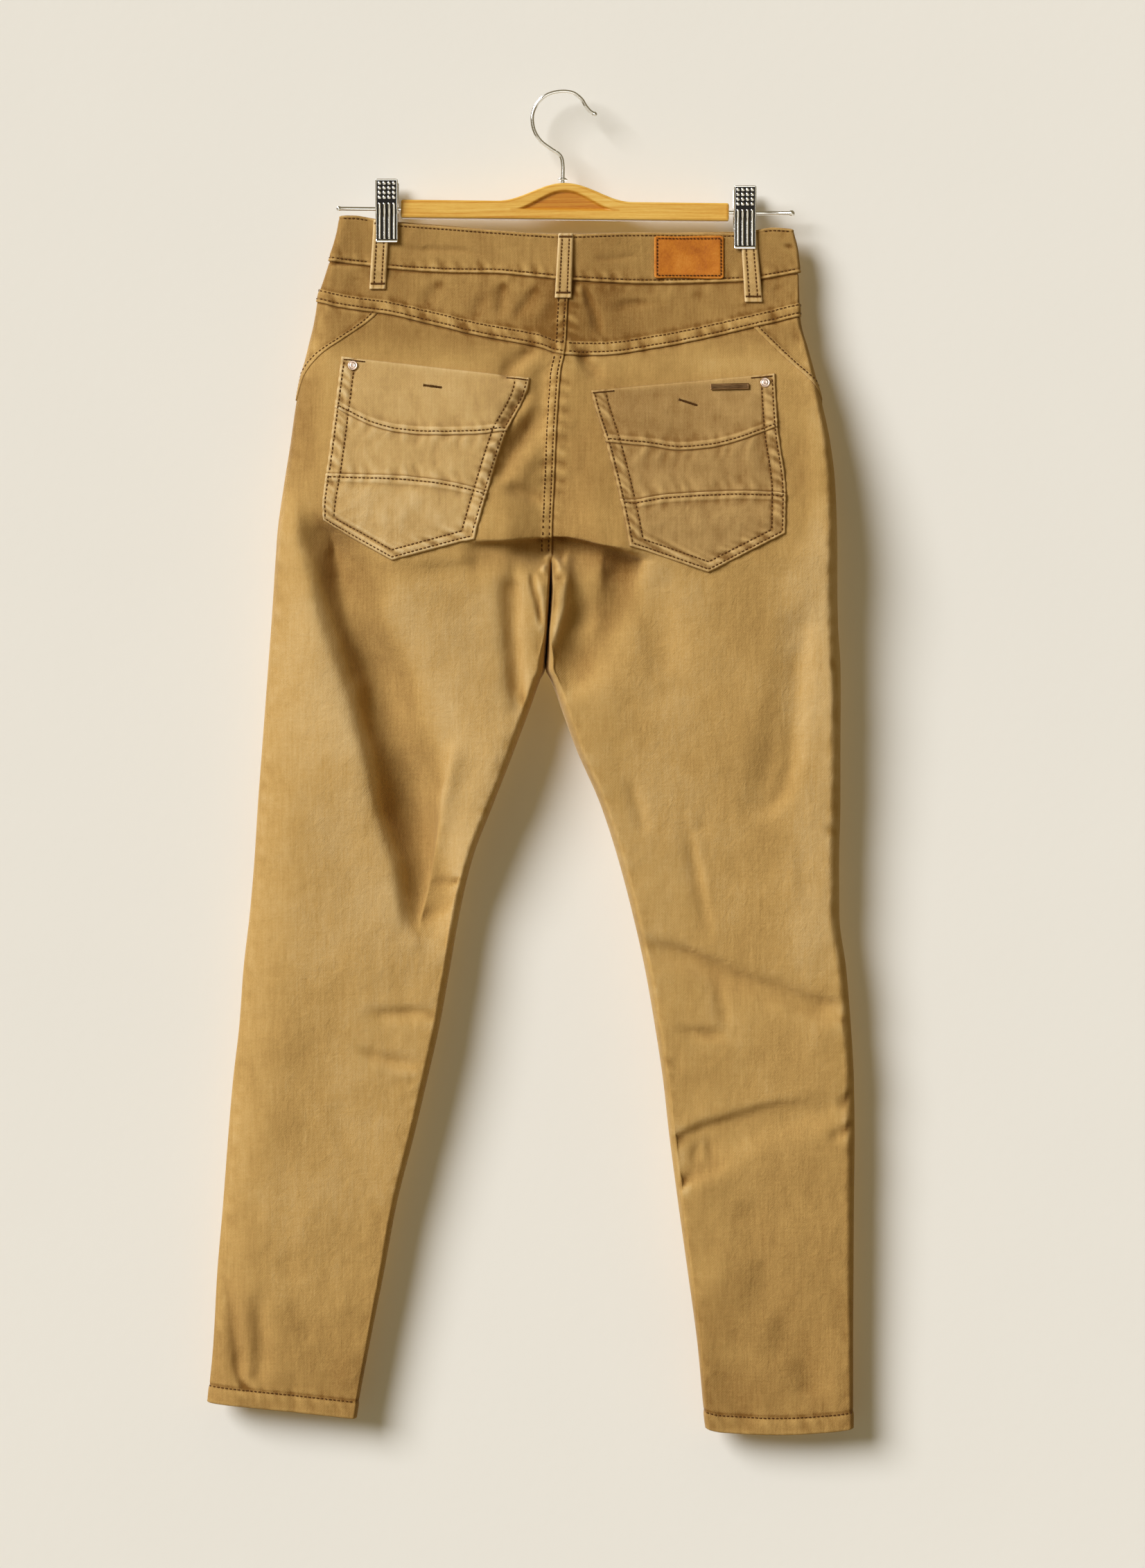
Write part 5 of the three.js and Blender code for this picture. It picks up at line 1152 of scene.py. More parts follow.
    # painted shade under the yoke's lapped edge
    pieces[f"hip_{name}"] = cloth_shell(f"hip_{name}", p, p - n * 1.2, h + lift, x, z, np.where(S < 0.5, -1, 1), 0.4 * np.exp(-((e / 1.4) ** 2)), 0.5 * smooth(1 - (YOKE(x) - z) / 3.0) * (S < 0.5), CLOTH)


# ---- waistband
def band_piece(name, side, q, z, top, low, x, face, sink=0.0):
    up, down = top(x) - z, z - low(x)
    lift = lift_band(top, low, x, z) - sink
    p, h, n = surface(side, q, z, lift)
    rim = 0.4 * np.exp(-((up / 1.5) ** 2)) + 0.5 * np.exp(-((down / 1.9) ** 2))
    pieces[name] = cloth_shell(name, p, p - n * 2.5, h + lift, x, z, face, rim, 0.0 * up, CLOTH)


s = np.concatenate([spread(count(100), 0.2) * 0.5, 0.5 + spread(count(100), 0.2)[1:] * 0.5])
t = spread(count(42), 0.4)
S, T = np.meshgrid(s, t)
sd = np.where(S < 0.5, -1.0, 1.0)
q = np.minimum(np.abs(2 * S - 1), 0.9985)
z = np.full(S.shape, -130.0)
for k in range(12):
    x = spot(sd, q, z)[..., 0]
    z = TOP_BACK(x) * (1 - T) + (BAND_BACK(x) + GAP) * T
x = spot(sd, q, z)[..., 0]
band_piece("waistband_back", sd, q, z, TOP_BACK, BAND_BACK, x, -1)

for side, name, past in ((-1, "left", 0.0), (1, "right", 24.0)):
    wide = 1 / (abs(float(OUT_L(-130)) - 5.5) if side < 0 else float(OUT_R(-130)) - 5.5)
    s = spread(count(110), 0.15)
    t = spread(count(36), 0.4)
    S, T = np.meshgrid(s, t)
    run = S * (1 + past * wide)
    z = np.full(S.shape, -130.0)
    for k in range(12):
        inn, out = edges(np.full(S.shape, float(side)), z)
        over = run > 1
        xs = out + (inn - out) * np.minimum(run, 1)
        x = np.where(over, inn - side * (run - 1) / wide, xs)
        z = TOP_FRONT(x) * (1 - T) + (BAND_FRONT(x) + GAP) * T
    sd = np.where(over, -side, side).astype(float)
    q = np.maximum(q_at(sd, 1, x, z), 1.0015)
    sink = 3.4 * smooth((run - 0.905) / 0.05) if past else 0 * S
    band_piece(f"waistband_front_{name}", sd, q, z, TOP_FRONT, BAND_FRONT, x, 1, sink)

# ---- fly shield
s, t = np.linspace(0, 1, 14), np.linspace(0, 1, 40)
S, T = np.meshgrid(s, t)
z = -160 + (-312 + 160) * T
x = -13 + (24 + (2 - 24) * smooth((T - 0.75) / 0.3) + 13) * S
sd = np.where(x < IN_L(z), -1.0, 1.0)
p, h, n = on_face(sd, 1, x, z, np.full(x.shape, -1.2 - 0.6))
pieces["fly_shield"] = grid_shell("v_fly_shield", p, p - n * 1.2, INSIDE, ["fly_shield"])

# ---- belt loops
LOOPS = [
    ("belt_loop_back_left", -1, -1, -158.3, -145.4, -161.8, -148.5, -107.6, -165.3),
    ("belt_loop_back_centre", -1, 0, -3.5, 8.7, -6.4, 7.0, -119.6, -173.4),
    ("belt_loop_back_right", -1, 1, 149.1, 161.8, 152.5, 167.0, -116.9, -176.3),
    ("belt_loop_front_left", 1, -1, -92, -79, -92, -79, -113.5, -168),
    ("belt_loop_front_right", 1, 1, 86, 99, 86, 99, -117.6, -173),
]


def loop_place(l, S, T, lift_extra=0.0):
    name, face, side, x0, x1, f0, f1, top, low = l
    z = top + (low - top) * T
    left, right = x0 + (f0 - x0) * T, x1 + (f1 - x1) * T
    x = left + (right - left) * S
    sd = np.where(x < IN_L(z), -1.0, 1.0) if side == 0 else np.full(x.shape, float(side))
    seam = BAND_BACK if face < 0 else BAND_FRONT
    past = float(seam((x0 + x1) / 2)) + 1 - z
    base = 1.2 + 0.6 + (0.7 if side == 0 else 0) * smooth((top - z) / 6)
    under = base + (0.6 - base) * smooth((past - 3) / 9)
    under = under + (0.9 if side == 0 else 0) * smooth((past - 3) / 9)
    under = under + 1.5 * np.sin(np.pi * np.clip(T * 1.25 - 0.08, 0, 1)) * 0.55
    centre_z = z
    base_p = spot(sd, q_at(sd, face, x, z), z)
    n = outward(sd, q_at(sd, face, x, z), z)
    thick = 1.8 + 0.35 * np.exp(-(((S - 0.13) / 0.09) ** 2)) + 0.35 * np.exp(-(((S - 0.87) / 0.09) ** 2)) - 0.18 * np.exp(-(((S - 0.26) / 0.05) ** 2)) - 0.18 * np.exp(-(((S - 0.74) / 0.05) ** 2))
    thick = thick * (0.62 + 0.38 * rounded(np.minimum(S, 1 - S) / 0.07))
    thick = thick * (1 - 0.35 * np.exp(-(((T - 0.045) / 0.02) ** 2)) - 0.35 * np.exp(-(((T - 0.93) / 0.018) ** 2)))
    wob = 0.25 * lattice(S * 1.7 + x0 * 0.3, z / 7, 81)
    return base_p, n, under, thick + wob + lift_extra


for l in LOOPS:
    S, T = np.meshgrid(spread(18, 0.3), spread(70, 0.3))
    bp, n, under, thick = loop_place(l, S, T)
    p = bp + n * (under + thick)[..., None]
    pi = bp + n * under[..., None]
    rim = 0.7 * np.exp(-((np.minimum(S, 1 - S) / 0.1) ** 2)) + 0.5 * np.exp(-((np.minimum(T, 1 - T) / 0.03) ** 2))
    # painted shade in the loop's stitch dents
    ho = 0.5 * np.exp(-(((S - 0.26) / 0.05) ** 2)) + 0.5 * np.exp(-(((S - 0.74) / 0.05) ** 2))
    pieces[l[0]] = grid_shell("v_" + l[0], p, pi, TRIM, [l[0]], np.clip(rim + 0.2 * np.abs(lattice(S * 3, T * 9, 5)), 0, 1), ho)

# ---- patch
LEATHER_BOX = (76.6, 134.6, -120.8, -156.6)
x0, x1, z0, z1 = LEATHER_BOX
S, T = np.meshgrid(spread(70, 0.2), spread(46, 0.25))
dz = np.minimum(T, 1 - T) * (z0 - z1)
corner = 2.6 - np.sqrt(np.maximum(0, 2.6 ** 2 - np.maximum(0, 2.6 - dz) ** 2))
x = (x0 + corner) + (x1 - x0 - 2 * corner) * S
z = z0 + (z1 - z0) * T + 0.8 * np.sin(S * 5.2) * (T - 0.5)
ex, ez = np.minimum(x - x0, x1 - x), dz
edge = np.minimum(ex, ez)
lift = 1.2 + 0.6 + 1.4 - 0.5 * (1 - rounded(edge / 1.2)) - 0.3 * np.exp(-(((edge - 2.1) / 0.8) ** 2)) + 0.18 * lattice(x / 15, z / 12, 91) + 0.09 * lattice(x / 6, z / 6, 92)
p, h, n = on_face(1, -1, x, z, lift)
inner_p, _, _ = on_face(1, -1, x, z, np.full(x.shape, 1.8))
# painted shade in the groove inside the patch's edge
pieces["leather_patch"] = grid_shell("v_leather_patch", p, inner_p, LEATHER, ["leather_patch"], 0.8 * np.exp(-((edge / 1.2) ** 2)), 0.6 * np.exp(-(((edge - 2.1) / 0.7) ** 2)))

# ---- back pockets
POCKETS = {
    "left": dict(
        side=-1,
        inner=curve([(-235, -27.8), (-241, -27.8), (-286.5, -47), (-337, -62.6), (-375.3, -73.1), (-394, -77)]),
        outer=curve([(-222, -184.6), (-265, -189.7), (-321, -196.6), (-359, -203.6), (-394, -208)]),
        top=[(-186, -223), (-26, -241)],
        band=curve([(-190, -266), (-177, -272.8), (-159, -281.4), (-137, -287.1), (-107, -289.4), (-75, -288.8), (-46, -285.4)]),
        body=curve([(-200, -321.3), (-169, -322.5), (-137, -323.6), (-104, -327.1), (-80, -331.8), (-62, -337)]),
        foot=[(-203.6, -359), (-142.1, -393.8), (-73.1, -375.3)],
    ),
    "right": dict(
        side=1,
        inner=curve([(-248, 23.4), (-252, 23.8), (-295, 36), (-342, 47.6), (-381, 55.1), (-404, 58)]),
        outer=curve([(-234, 176.8), (-282, 179.2), (-337, 185.6), (-371, 185), (-404, 184)]),
        top=[(22, -251.9), (178, -237.1)],
        band=curve([(35, -295.2), (71, -298.7), (98, -302.2), (121, -300.4), (144, -295.2), (166, -287.1), (180, -281.8)]),
        body=curve([(47, -342.4), (58, -343.4), (82, -339.9), (113, -337.6), (144, -336.4), (174, -337), (186, -338.7)]),
        foot=[(55.1, -381.1), (121.2, -403.7), (185, -371.2)],
    ),
}


def straight(rows):
    xs, zs = [r[0] for r in rows], [r[1] for r in rows]
    return lambda v: np.interp(v, xs, zs)


HEM_SIDE, HEM_FOOT = 11.6, 8.0  # widths of the pocket's turned edges


def pocket_edge(pk, x, z):
    """Distance in from the pocket's nearest edge, from its nearest sewn edge, and the latter as a share of the turned edge."""
    side = pk["side"]
    flank = np.minimum((x - pk["outer"](z)) * -side * 0.985, (pk["inner"](z) - x) * -side * 0.955)
    top, foot = straight(pk["top"]), straight(pk["foot"])
    below = (z - foot(x)) * 0.9
    d = np.minimum(flank, below)
    return np.minimum(d, top(x) - z), d, np.minimum(flank / HEM_SIDE, below / HEM_FOOT)


def lift_pocket(pk, part, x, z):
    e, sewn, share = pocket_edge(pk, x, z)
    lift = 1.8 + topstitched(sewn, 2.6, 0.3, 0.4) - 0.75 * (1 - rounded(e / 1.1))
    lift = lift + 0.4 * smooth((0.92 - share) / 0.18) - 0.42 * np.exp(-(((share - 1.0) / 0.085) ** 2))
    # The band laps over the body, and the foot over the body's lower edge.
    d = z - pk["band"](x) if part == "band" else pk["body"](x) - z if part == "foot" else np.minimum(pk["band"](x) - z, z - pk["body"](x))
    if part == "body":
        lift = lift - 0.4 * smooth(1 - d / 1.6)
    else:
        lift = lift + 0.85 * smooth((7.5 - d) / 1.6) - 0.55 * (1 - rounded(d / 0.9)) + topstitched(d, 2.9, 0.15, 0.4)
    lift = lift + seam_roping(x * 0.6 + z, np.abs(sewn - 5), 1.5, 7, 61, 6.0) + seam_roping(x, np.abs(d) - 3, 0.8, 8, 63, 7.0)
    return lift + 0.7 * smooth(e / 30) + 0.45 * lattice(x / 24, z / 22, 64 + pk["side"])


def pocket_part(pk, x, z):
    return "band" if z > pk["band"](x) else "foot" if z < pk["body"](x) else "body"


def lift_on_pocket(pk):
    def f(x, z):
        return np.where(z > pk["band"](x), lift_pocket(pk, "band", x, z), np.where(z < pk["body"](x), lift_pocket(pk, "foot", x, z), lift_pocket(pk, "body", x, z))) + 0.12

    return f


for name, pk in POCKETS.items():
    side = pk["side"]
    top, foot = straight(pk["top"]), straight(pk["foot"])
    for part, a, b, rows in (("band", top, lambda x: pk["band"](x) + GAP, 46), ("body", lambda x: pk["band"](x) - GAP, lambda x: pk["body"](x) + GAP, 44), ("foot", lambda x: pk["body"](x) - GAP, foot, 50)):
        S, T = np.meshgrid(spread(count(104), 0.25), spread(count(rows), 0.3))
        z = np.full(S.shape, -300.0)
        for k in range(12):
            x = pk["outer"](z) + (pk["inner"](z) - pk["outer"](z)) * S
            z = a(x) + (b(x) - a(x)) * T
        x = pk["outer"](z) + (pk["inner"](z) - pk["outer"](z)) * S
        e, _, _ = pocket_edge(pk, x, z)
        d = z - pk["band"](x) if part == "band" else pk["body"](x) - z if part == "foot" else np.minimum(pk["band"](x) - z, z - pk["body"](x))
        lift = lift_pocket(pk, part, x, z)
        p, h, n = on_face(side, -1, x, z, lift)
        low_p, _, _ = on_face(side, -1, x, z, np.full(x.shape, 0.45))
        inner_p = np.where((((p - low_p) * n).sum(-1) > 1.2)[..., None], p - n * 1.2, low_p)
        rim = 0.4 * np.exp(-((e / 1.3) ** 2)) + (0.5 * np.exp(-((d / 1.3) ** 2)) if part != "body" else 0)
        # painted shade under the band's and the foot's lapped edges
        hol = 0.7 * np.exp(-((d / 1.5) ** 2)) if part == "body" else 0 * d
        key = f"pocket_{name}_{part}"
        pieces[key] = cloth_shell(key, p, inner_p, h + lift, x, z, -1, rim, hol, TRIM, dye_and_painted_light=0.02 if side < 0 else -0.17)


# ---------------------------------------------------------------- stitches
def resample(points, step):
    p = np.array(points, float)
    seg = np.linalg.norm(np.diff(p, axis=0), axis=1)
    run = np.concatenate([[0], np.cumsum(seg)])
    n = max(1, int(round(run[-1] / step)))
    at = (np.arange(n) + 0.5) * run[-1] / n
    x = np.interp(at, run, p[:, 0])
    z = np.interp(at, run, p[:, 1])
    e = 0.25 * step
    dx = np.interp(np.minimum(at + e, run[-1]), run, p[:, 0]) - np.interp(np.maximum(at - e, 0), run, p[:, 0])
    dz = np.interp(np.minimum(at + e, run[-1]), run, p[:, 1]) - np.interp(np.maximum(at - e, 0), run, p[:, 1])
    L = np.maximum(np.hypot(dx, dz), 1e-9)
    return x, z, dx / L, dz / L


def curved(points, n=12):
    """A smooth line through points, by their own running length."""
    p = np.array(points, float)
    if len(p) < 3:
        return p
    run = np.concatenate([[0], np.cumsum(np.linalg.norm(np.diff(p, axis=0), axis=1))])
    fx, fz = curve(list(zip(run, p[:, 0]))), curve(list(zip(run, p[:, 1])))
    at = np.linspace(0, run[-1], (len(p) - 1) * n + 1)
    return np.stack([fx(at), fz(at)], 1)


class Stitches:
    """Rows of thread, gathered into one piece."""

    def __init__(self):
        self.v, self.q, self.t, self.n = [], [], [], 0
        self.rng = np.random.RandomState(11)

    def put(self, centre, along, normal, length=2.6, wide=1.05, high=0.55):
        k = len(centre)
        if not k:
            return
        along = along / np.maximum(np.linalg.norm(along, axis=1, keepdims=True), 1e-9)
        across = np.cross(normal, along)
        L = length * (1 + 0.14 * self.rng.uniform(-1, 1, (k, 1)))
        turn = 0.09 * self.rng.uniform(-1, 1, (k, 1))
        along2 = along + across * turn
        rings = [(-0.5, 0.25, -0.35), (-0.34, 1.0, 0.55), (0.0, 1.1, 1.0), (0.34, 1.0, 0.55), (0.5, 0.25, -0.35)]
        pts = []
        for u, w, hgt in rings:
            c = centre + along2 * (L * u)
            for s, t in ((-0.5, -0.3), (-0.32, 0.55), (0.32, 0.55), (0.5, -0.3)):
                pts.append(c + across * (wide * w * s) + normal * (high * (hgt * 0.6 + t * w)))
        v = np.stack(pts, 1)  # k, 20, 3
        quads, tris = [], []
        for r in range(4):
            for c in range(3):
                quads.append([r * 4 + c, r * 4 + c + 1, (r + 1) * 4 + c + 1, (r + 1) * 4 + c])
        quads.append([0, 1, 2, 3][::-1])
        quads.append([16, 17, 18, 19])
        Q = np.array(quads)[None] + (self.n + np.arange(k) * 20)[:, None, None]
        self.v.append(v.reshape(-1, 3))
        self.q.append(Q.reshape(-1, 4))
        self.n += k * 20

    def row(self, face, points, lift, step=3.45, side=None, smooth_line=True, **size):
        line = curved(points) if smooth_line else np.array(points, float)
        x, z, dx, dz = resample(line, step)
        sd = np.where(x < IN_L(z), -1.0, 1.0) if side is None else np.full(x.shape, float(side))
        c, h, n = on_face(sd, face, x, z, np.full(x.shape, float(lift)) if np.isscalar(lift) else lift(x, z))
        e = 0.6
        c2, _, _ = on_face(sd, face, x + dx * e, z + dz * e, np.full(x.shape, float(lift)) if np.isscalar(lift) else lift(x + dx * e, z + dz * e))
        self.put(c, c2 - c, n, **size)

    def build(self, name):
        o = mesh_object(name, np.concatenate(self.v), np.concatenate(self.q), mat=THREAD)
        return o


back_thread, front_thread = Stitches(), Stitches()
B = back_thread
span = lambda a, b, n=40: np.linspace(a, b, n)


def across_line(f, a, b, off, n=60):
    x = np.linspace(a, b, n)
    return np.stack([x, f(x) + off], 1)


def skip(points, *gaps):
    """Splits a line where it passes under something laid on top."""
    out, run = [], []
    for x, z in points:
        if any(a < x < b for a, b in gaps):
            if len(run) > 2:
                out.append(np.array(run))
            run = []
        else:
            run.append((x, z))
    if len(run) > 2:
        out.append(np.array(run))
    return out


PROUD = 0.12


def over(f, *args):
    return lambda x, z: f(*args, x, z) + PROUD


LOOP_GAPS = ((-163.0, -144.5), (-6.5, 9.0), (148.0, 168.0))
on_band = over(lift_band, TOP_BACK, BAND_BACK)
for piece in skip(across_line(TOP_BACK, -184, 190, -2.4, 400), *LOOP_GAPS):
    B.row(-1, piece, on_band, smooth_line=False)
for piece in skip(across_line(BAND_BACK, -197, 195, 3.2, 400), *LOOP_GAPS):
    B.row(-1, piece, on_band, smooth_line=False)
for side, xa, xb in ((-1, -207, 0.5), (1, 4.5, 201)):
    for off in (2.7, 9.7):
        B.row(-1, across_line(YOKE, xa, xb, off, 240), over(lift_yoke, side), side=side, smooth_line=False)
# centre back, two rows on the felled band
for za, zb, f in ((-163, -212, lift_yoke), (-222, -386, lift_back)):
    zs = np.linspace(za, zb, 100)
    for off in (2.1, 7.6):
        B.row(-1, np.stack([IN_L(zs) - off, zs], 1), over(f, -1), side=-1, smooth_line=False)
for side, hip in ((-1, HIP_L), (1, HIP_R)):
    zs = np.linspace(-183 if side < 0 else -194, -256, 80)
    B.row(-1, np.stack([hip(zs) + side * 4.4, zs], 1), over(lift_hip, side), side=side, smooth_line=False)
for side, hem, xa, xb in ((-1, HEM_L, -297, -175.5), (1, HEM_R, 119.5, 242.5)):
    B.row(-1, across_line(hem, xa, xb, 13.6), over(lift_hem, side), side=side, smooth_line=False)
    front_thread.row(1, across_line(hem, xa, xb, 13.6), over(lift_hem, side), side=side, smooth_line=False)
# pocket rows: one along the edge, one well inside it, and along both cross seams
for name, pk in POCKETS.items():
    side = pk["side"]
    top, foot = straight(pk["top"]), straight(pk["foot"])
    lift = lift_on_pocket(pk)
    for inset, rise in ((2.6, 2.8), (HEM_SIDE, HEM_FOOT * 1.1)):
        zs = np.linspace(-225, -390, 90)
        o_x = pk["outer"](zs) - side * inset
        i_x = pk["inner"](zs) + side * inset * 1.04
        ok_o = (zs < top(o_x) - 2.6) & (zs > foot(o_x) + rise)
        ok_i = (zs < top(i_x) - 2.6) & (zs > foot(i_x) + rise)
        fx = [r[0] for r in pk["foot"]]
        xs = np.linspace(min(fx), max(fx), 90)
        zf = foot(xs) + rise
        inside = ((xs - pk["outer"](zf)) * -side > inset) & ((pk["inner"](zf) - xs) * -side > inset)
        B.row(-1, np.stack([o_x[ok_o], zs[ok_o]], 1), lift, side=side, smooth_line=False)
        B.row(-1, np.stack([i_x[ok_i], zs[ok_i]], 1), lift, side=side, smooth_line=False)
        B.row(-1, np.stack([xs[inside], zf[inside]], 1), lift, side=side, smooth_line=False)
    for f, sign in ((pk["band"], 1), (pk["body"], -1)):
        xs = np.linspace(-196, -26, 120) if side < 0 else np.linspace(24, 190, 120)
        zz = f(xs) + sign * 2.9
        ok = ((xs - pk["outer"](zz)) * -side > 1.5) & ((pk["inner"](zz) - xs) * -side > 1.5)
        B.row(-1, np.stack([xs[ok], zz[ok]], 1), lift, side=side, smooth_line=False)
    # the marks where the mouth's hem is caught, at both corners
    for c in (0, 1):
        cx = pk["top"][c][0]
        way = 1 if c == 0 else -1
        tx = np.linspace(cx + way * 3.0, cx + way * 21.0, 12)
        B.row(-1, np.stack([tx, top(tx) - 2.2], 1), lift, side=side, step=1.5, smooth_line=False, length=1.9)
# patch border
m = 2.2
x0, x1, z0, z1 = LEATHER_BOX
for pts in ([(x0 + m, z0 - m), (x1 - m, z0 - m)], [(x0 + m, z1 + m), (x1 - m, z1 + m)], [(x0 + m, z0 - m), (x0 + m, z1 + m)], [(x1 - m, z0 - m), (x1 - m, z1 + m)]):
    B.row(-1, pts, 3.3, step=2.9, side=1, smooth_line=False, length=2.2, wide=0.95)


def tack(store, face, side, xa, za, xb, zb, lift, wide=1.9, pitch=0.62):
    """A bartack: close satin stitches across a short line."""
    L = math.hypot(xb - xa, zb - za)
    k = max(3, int(L / pitch))
    u = (np.arange(k) + 0.5) / k
    x, z = xa + (xb - xa) * u, za + (zb - za) * u
    sd = np.full(k, float(side))
    c, _, n = on_face(sd, face, x, z, np.full(k, float(lift)))
    d = np.array([-(zb - za) / L, 0, (xb - xa) / L])
    along = np.tile(d, (k, 1))
    along -= n * (along * n).sum(1, keepdims=True)
    store.put(c, along, n, length=wide, wide=0.75, high=0.5)


# loop threads: two long rows and a tack at each end
for l in LOOPS:
    name, face, side, lx0, lx1, f0, f1, top, low = l
    store = B if face < 0 else front_thread
    for s in (0.26, 0.74):
        T = (np.arange(15) + 0.5) / 15 * 0.86 + 0.07
        S = np.full(T.shape, s)
        bp, n, under, thick = loop_place(l, S, T)
        bp2, n2, under2, thick2 = loop_place(l, S, T + 0.01)
        c = bp + n * (under + thick + 0.05)[:, None]
        c2 = bp2 + n2 * (under2 + thick2 + 0.05)[:, None]
        store.put(c, c2 - c, n)
    for T0 in (0.045, 0.93):
        S = np.linspace(0.08, 0.92, 18)
        T = np.full(S.shape, T0)
        bp, n, under, thick = loop_place(l, S, T)
        bp2, n2, under2, thick2 = loop_place(l, S, T + 0.01)
        c = bp + n * (under + thick + 0.25)[:, None]
        store.put(c, (bp2 + n2 * (under2 + thick2)[:, None]) - c, n, length=2.0, wide=0.8, high=0.5)
# the short bars on the pockets' bands
for xa, za, xb, zb, side, name in [(-116.5, -247.4, -101.0, -249.4, -1, "left"), (96.5, -259.4, 112.0, -264.4, 1, "right")]:
    lift = lift_on_pocket(POCKETS[name])
    mid = float(lift(np.array([(xa + xb) / 2]), np.array([(za + zb) / 2]))[0])
    tack(B, -1, side, xa, za, xb, zb, mid + 0.1, wide=2.2, pitch=1.0)

# front rows
F = front_thread
on_front_band = over(lift_band, TOP_FRONT, BAND_FRONT)
for piece in skip(across_line(TOP_FRONT, -184, 190, -2.4, 300), (-93, -78), (5.0, 32.0), (85, 100)):
    F.row(1, piece, on_front_band, smooth_line=False)
for piece in skip(across_line(BAND_FRONT, -196, 194, 3.2, 300), (-93, -78), (5.0, 32.0), (85, 100)):
    F.row(1, piece, on_front_band, smooth_line=False)
zs = np.linspace(-262 + 6, -162, 90)
for side in (-1, 1):
    for inset in (2.6, 8.4):
        F.row(1, np.stack([side * (MOUTH(zs) - inset), zs], 1), over(lift_front, side), side=side, smooth_line=False)
# the fly's double row, down and curving in to the centre seam
for off in (0.0, 6.2):
    fly = [(-36 + off, -162), (-36 + off, -220), (-35 + off, -262), (-30 + off * 0.9, -290), (-19 + off * 0.6, -308 + off * 0.4), (-5, -316 + off * 0.8)]
    F.row(1, fly, over(lift_front, -1), side=-1)
zs = np.linspace(-160, -384, 140)
F.row(1, np.stack([IN_L(zs) - 2.6, zs], 1), over(lift_front, -1), side=-1, smooth_line=False)
tack(F, 1, -1, -12.0, -312.0, -2.0, -316.0, 0.5)
for side in (-1, 1):
    tack(F, 1, side, side * 106.0, -163.0, side * 97.0, -163.0, 0.9)
back_obj = B.build("stitches_back")
front_obj = F.build("stitches_front")


# ---------------------------------------------------------------- turned, swept and pressed parts
def ring_mesh(rings, closed=True, cap=True):
    """Quads between rings of points, each ring an array of the same length."""
    k, n = len(rings), len(rings[0])
    v = np.concatenate(rings)
    quads, tris = [], []
    i = np.arange(n)
    j = (i + 1) % n
    for r in range(k - 1):
        quads.append(np.stack([r * n + i, r * n + j, (r + 1) * n + j, (r + 1) * n + i], 1))
    if cap:
        c0, c1 = len(v), len(v) + 1
        v = np.concatenate([v, [rings[0].mean(0)], [rings[-1].mean(0)]])
        tris.append(np.stack([np.full(n, c0), j, i], 1))
        tris.append(np.stack([np.full(n, c1), (k - 1) * n + i, (k - 1) * n + j], 1))
    return v, np.concatenate(quads), (np.concatenate(tris) if tris else np.zeros((0, 3), int))


def join(parts):
    v, q, t, n = [], [], [], 0
    for a, b, c in parts:
        v.append(a); q.append(np.asarray(b).reshape(-1, 4) + n); t.append(np.asarray(c).reshape(-1, 3) + n)
        n += len(a)
    return np.concatenate(v), np.concatenate(q), np.concatenate(t)


def lathe(profile, origin, axis, n=48):
    """profile is (radius, height) pairs along the axis."""
    axis = np.asarray(axis, float); axis = axis / np.linalg.norm(axis)
    u = np.cross(axis, [0.3, 0.2, 0.93]); u /= np.linalg.norm(u)
    w = np.cross(axis, u)
    a = np.linspace(0, 2 * np.pi, n, endpoint=False)
    ring = np.cos(a)[:, None] * u + np.sin(a)[:, None] * w
    return ring_mesh([np.asarray(origin) + ring * max(r, 1e-3) + axis * h for r, h in profile])


def sweep(path, radius, n=20, up=(0, 1, 0)):
    path = np.asarray(path, float)
    t = np.gradient(path, axis=0)
    t /= np.linalg.norm(t, axis=1, keepdims=True)
    a = np.linspace(0, 2 * np.pi, n, endpoint=False)
    rings = []
    prev = np.asarray(up, float)
    r = np.broadcast_to(radius, (len(path),))
    for i in range(len(path)):
        u = prev - t[i] * (prev @ t[i])
        u /= np.linalg.norm(u)
        prev = u
        w = np.cross(t[i], u)
        rings.append(path[i] + (np.cos(a)[:, None] * u + np.sin(a)[:, None] * w) * r[i])
    return ring_mesh(rings)


def catmull(points, n=10):
    p = np.asarray(points, float)
    p = np.concatenate([[2 * p[0] - p[1]], p, [2 * p[-1] - p[-2]]])
    out = []
    for i in range(1, len(p) - 2):
        for k in range(n):
            t = k / n
            a, b, c, d = p[i - 1], p[i], p[i + 1], p[i + 2]
            out.append(0.5 * (2 * b + (c - a) * t + (2 * a - 5 * b + 4 * c - d) * t * t + (3 * b - a - 3 * c + d) * t ** 3))
    out.append(p[-2])
    return np.array(out)


def solid_piece(name, geo, mat, nodes, sharp=None, attrs=None):
    v, q, t = geo
    o = mesh_object(name, v, q, t, mat=mat, attrs=attrs)
    if sharp:
        o.data.set_sharp_from_angle(angle=math.radians(sharp))
    if nodes:
        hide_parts(*nodes)
    return o


BAR = dict(length=275, height=15.2, thick=12, x=1.75, z=-98.9, tilt=0.0105, arch=15.5, half=57)
ct, st = math.cos(BAR["tilt"]), math.sin(BAR["tilt"])


def on_bar(p):
    """From the bar's own frame to the garment's."""
    p = np.asarray(p, float)
    return np.stack([BAR["x"] + p[..., 0] * ct + p[..., 2] * st, p[..., 1], BAR["z"] - p[..., 0] * st + p[..., 2] * ct], -1)


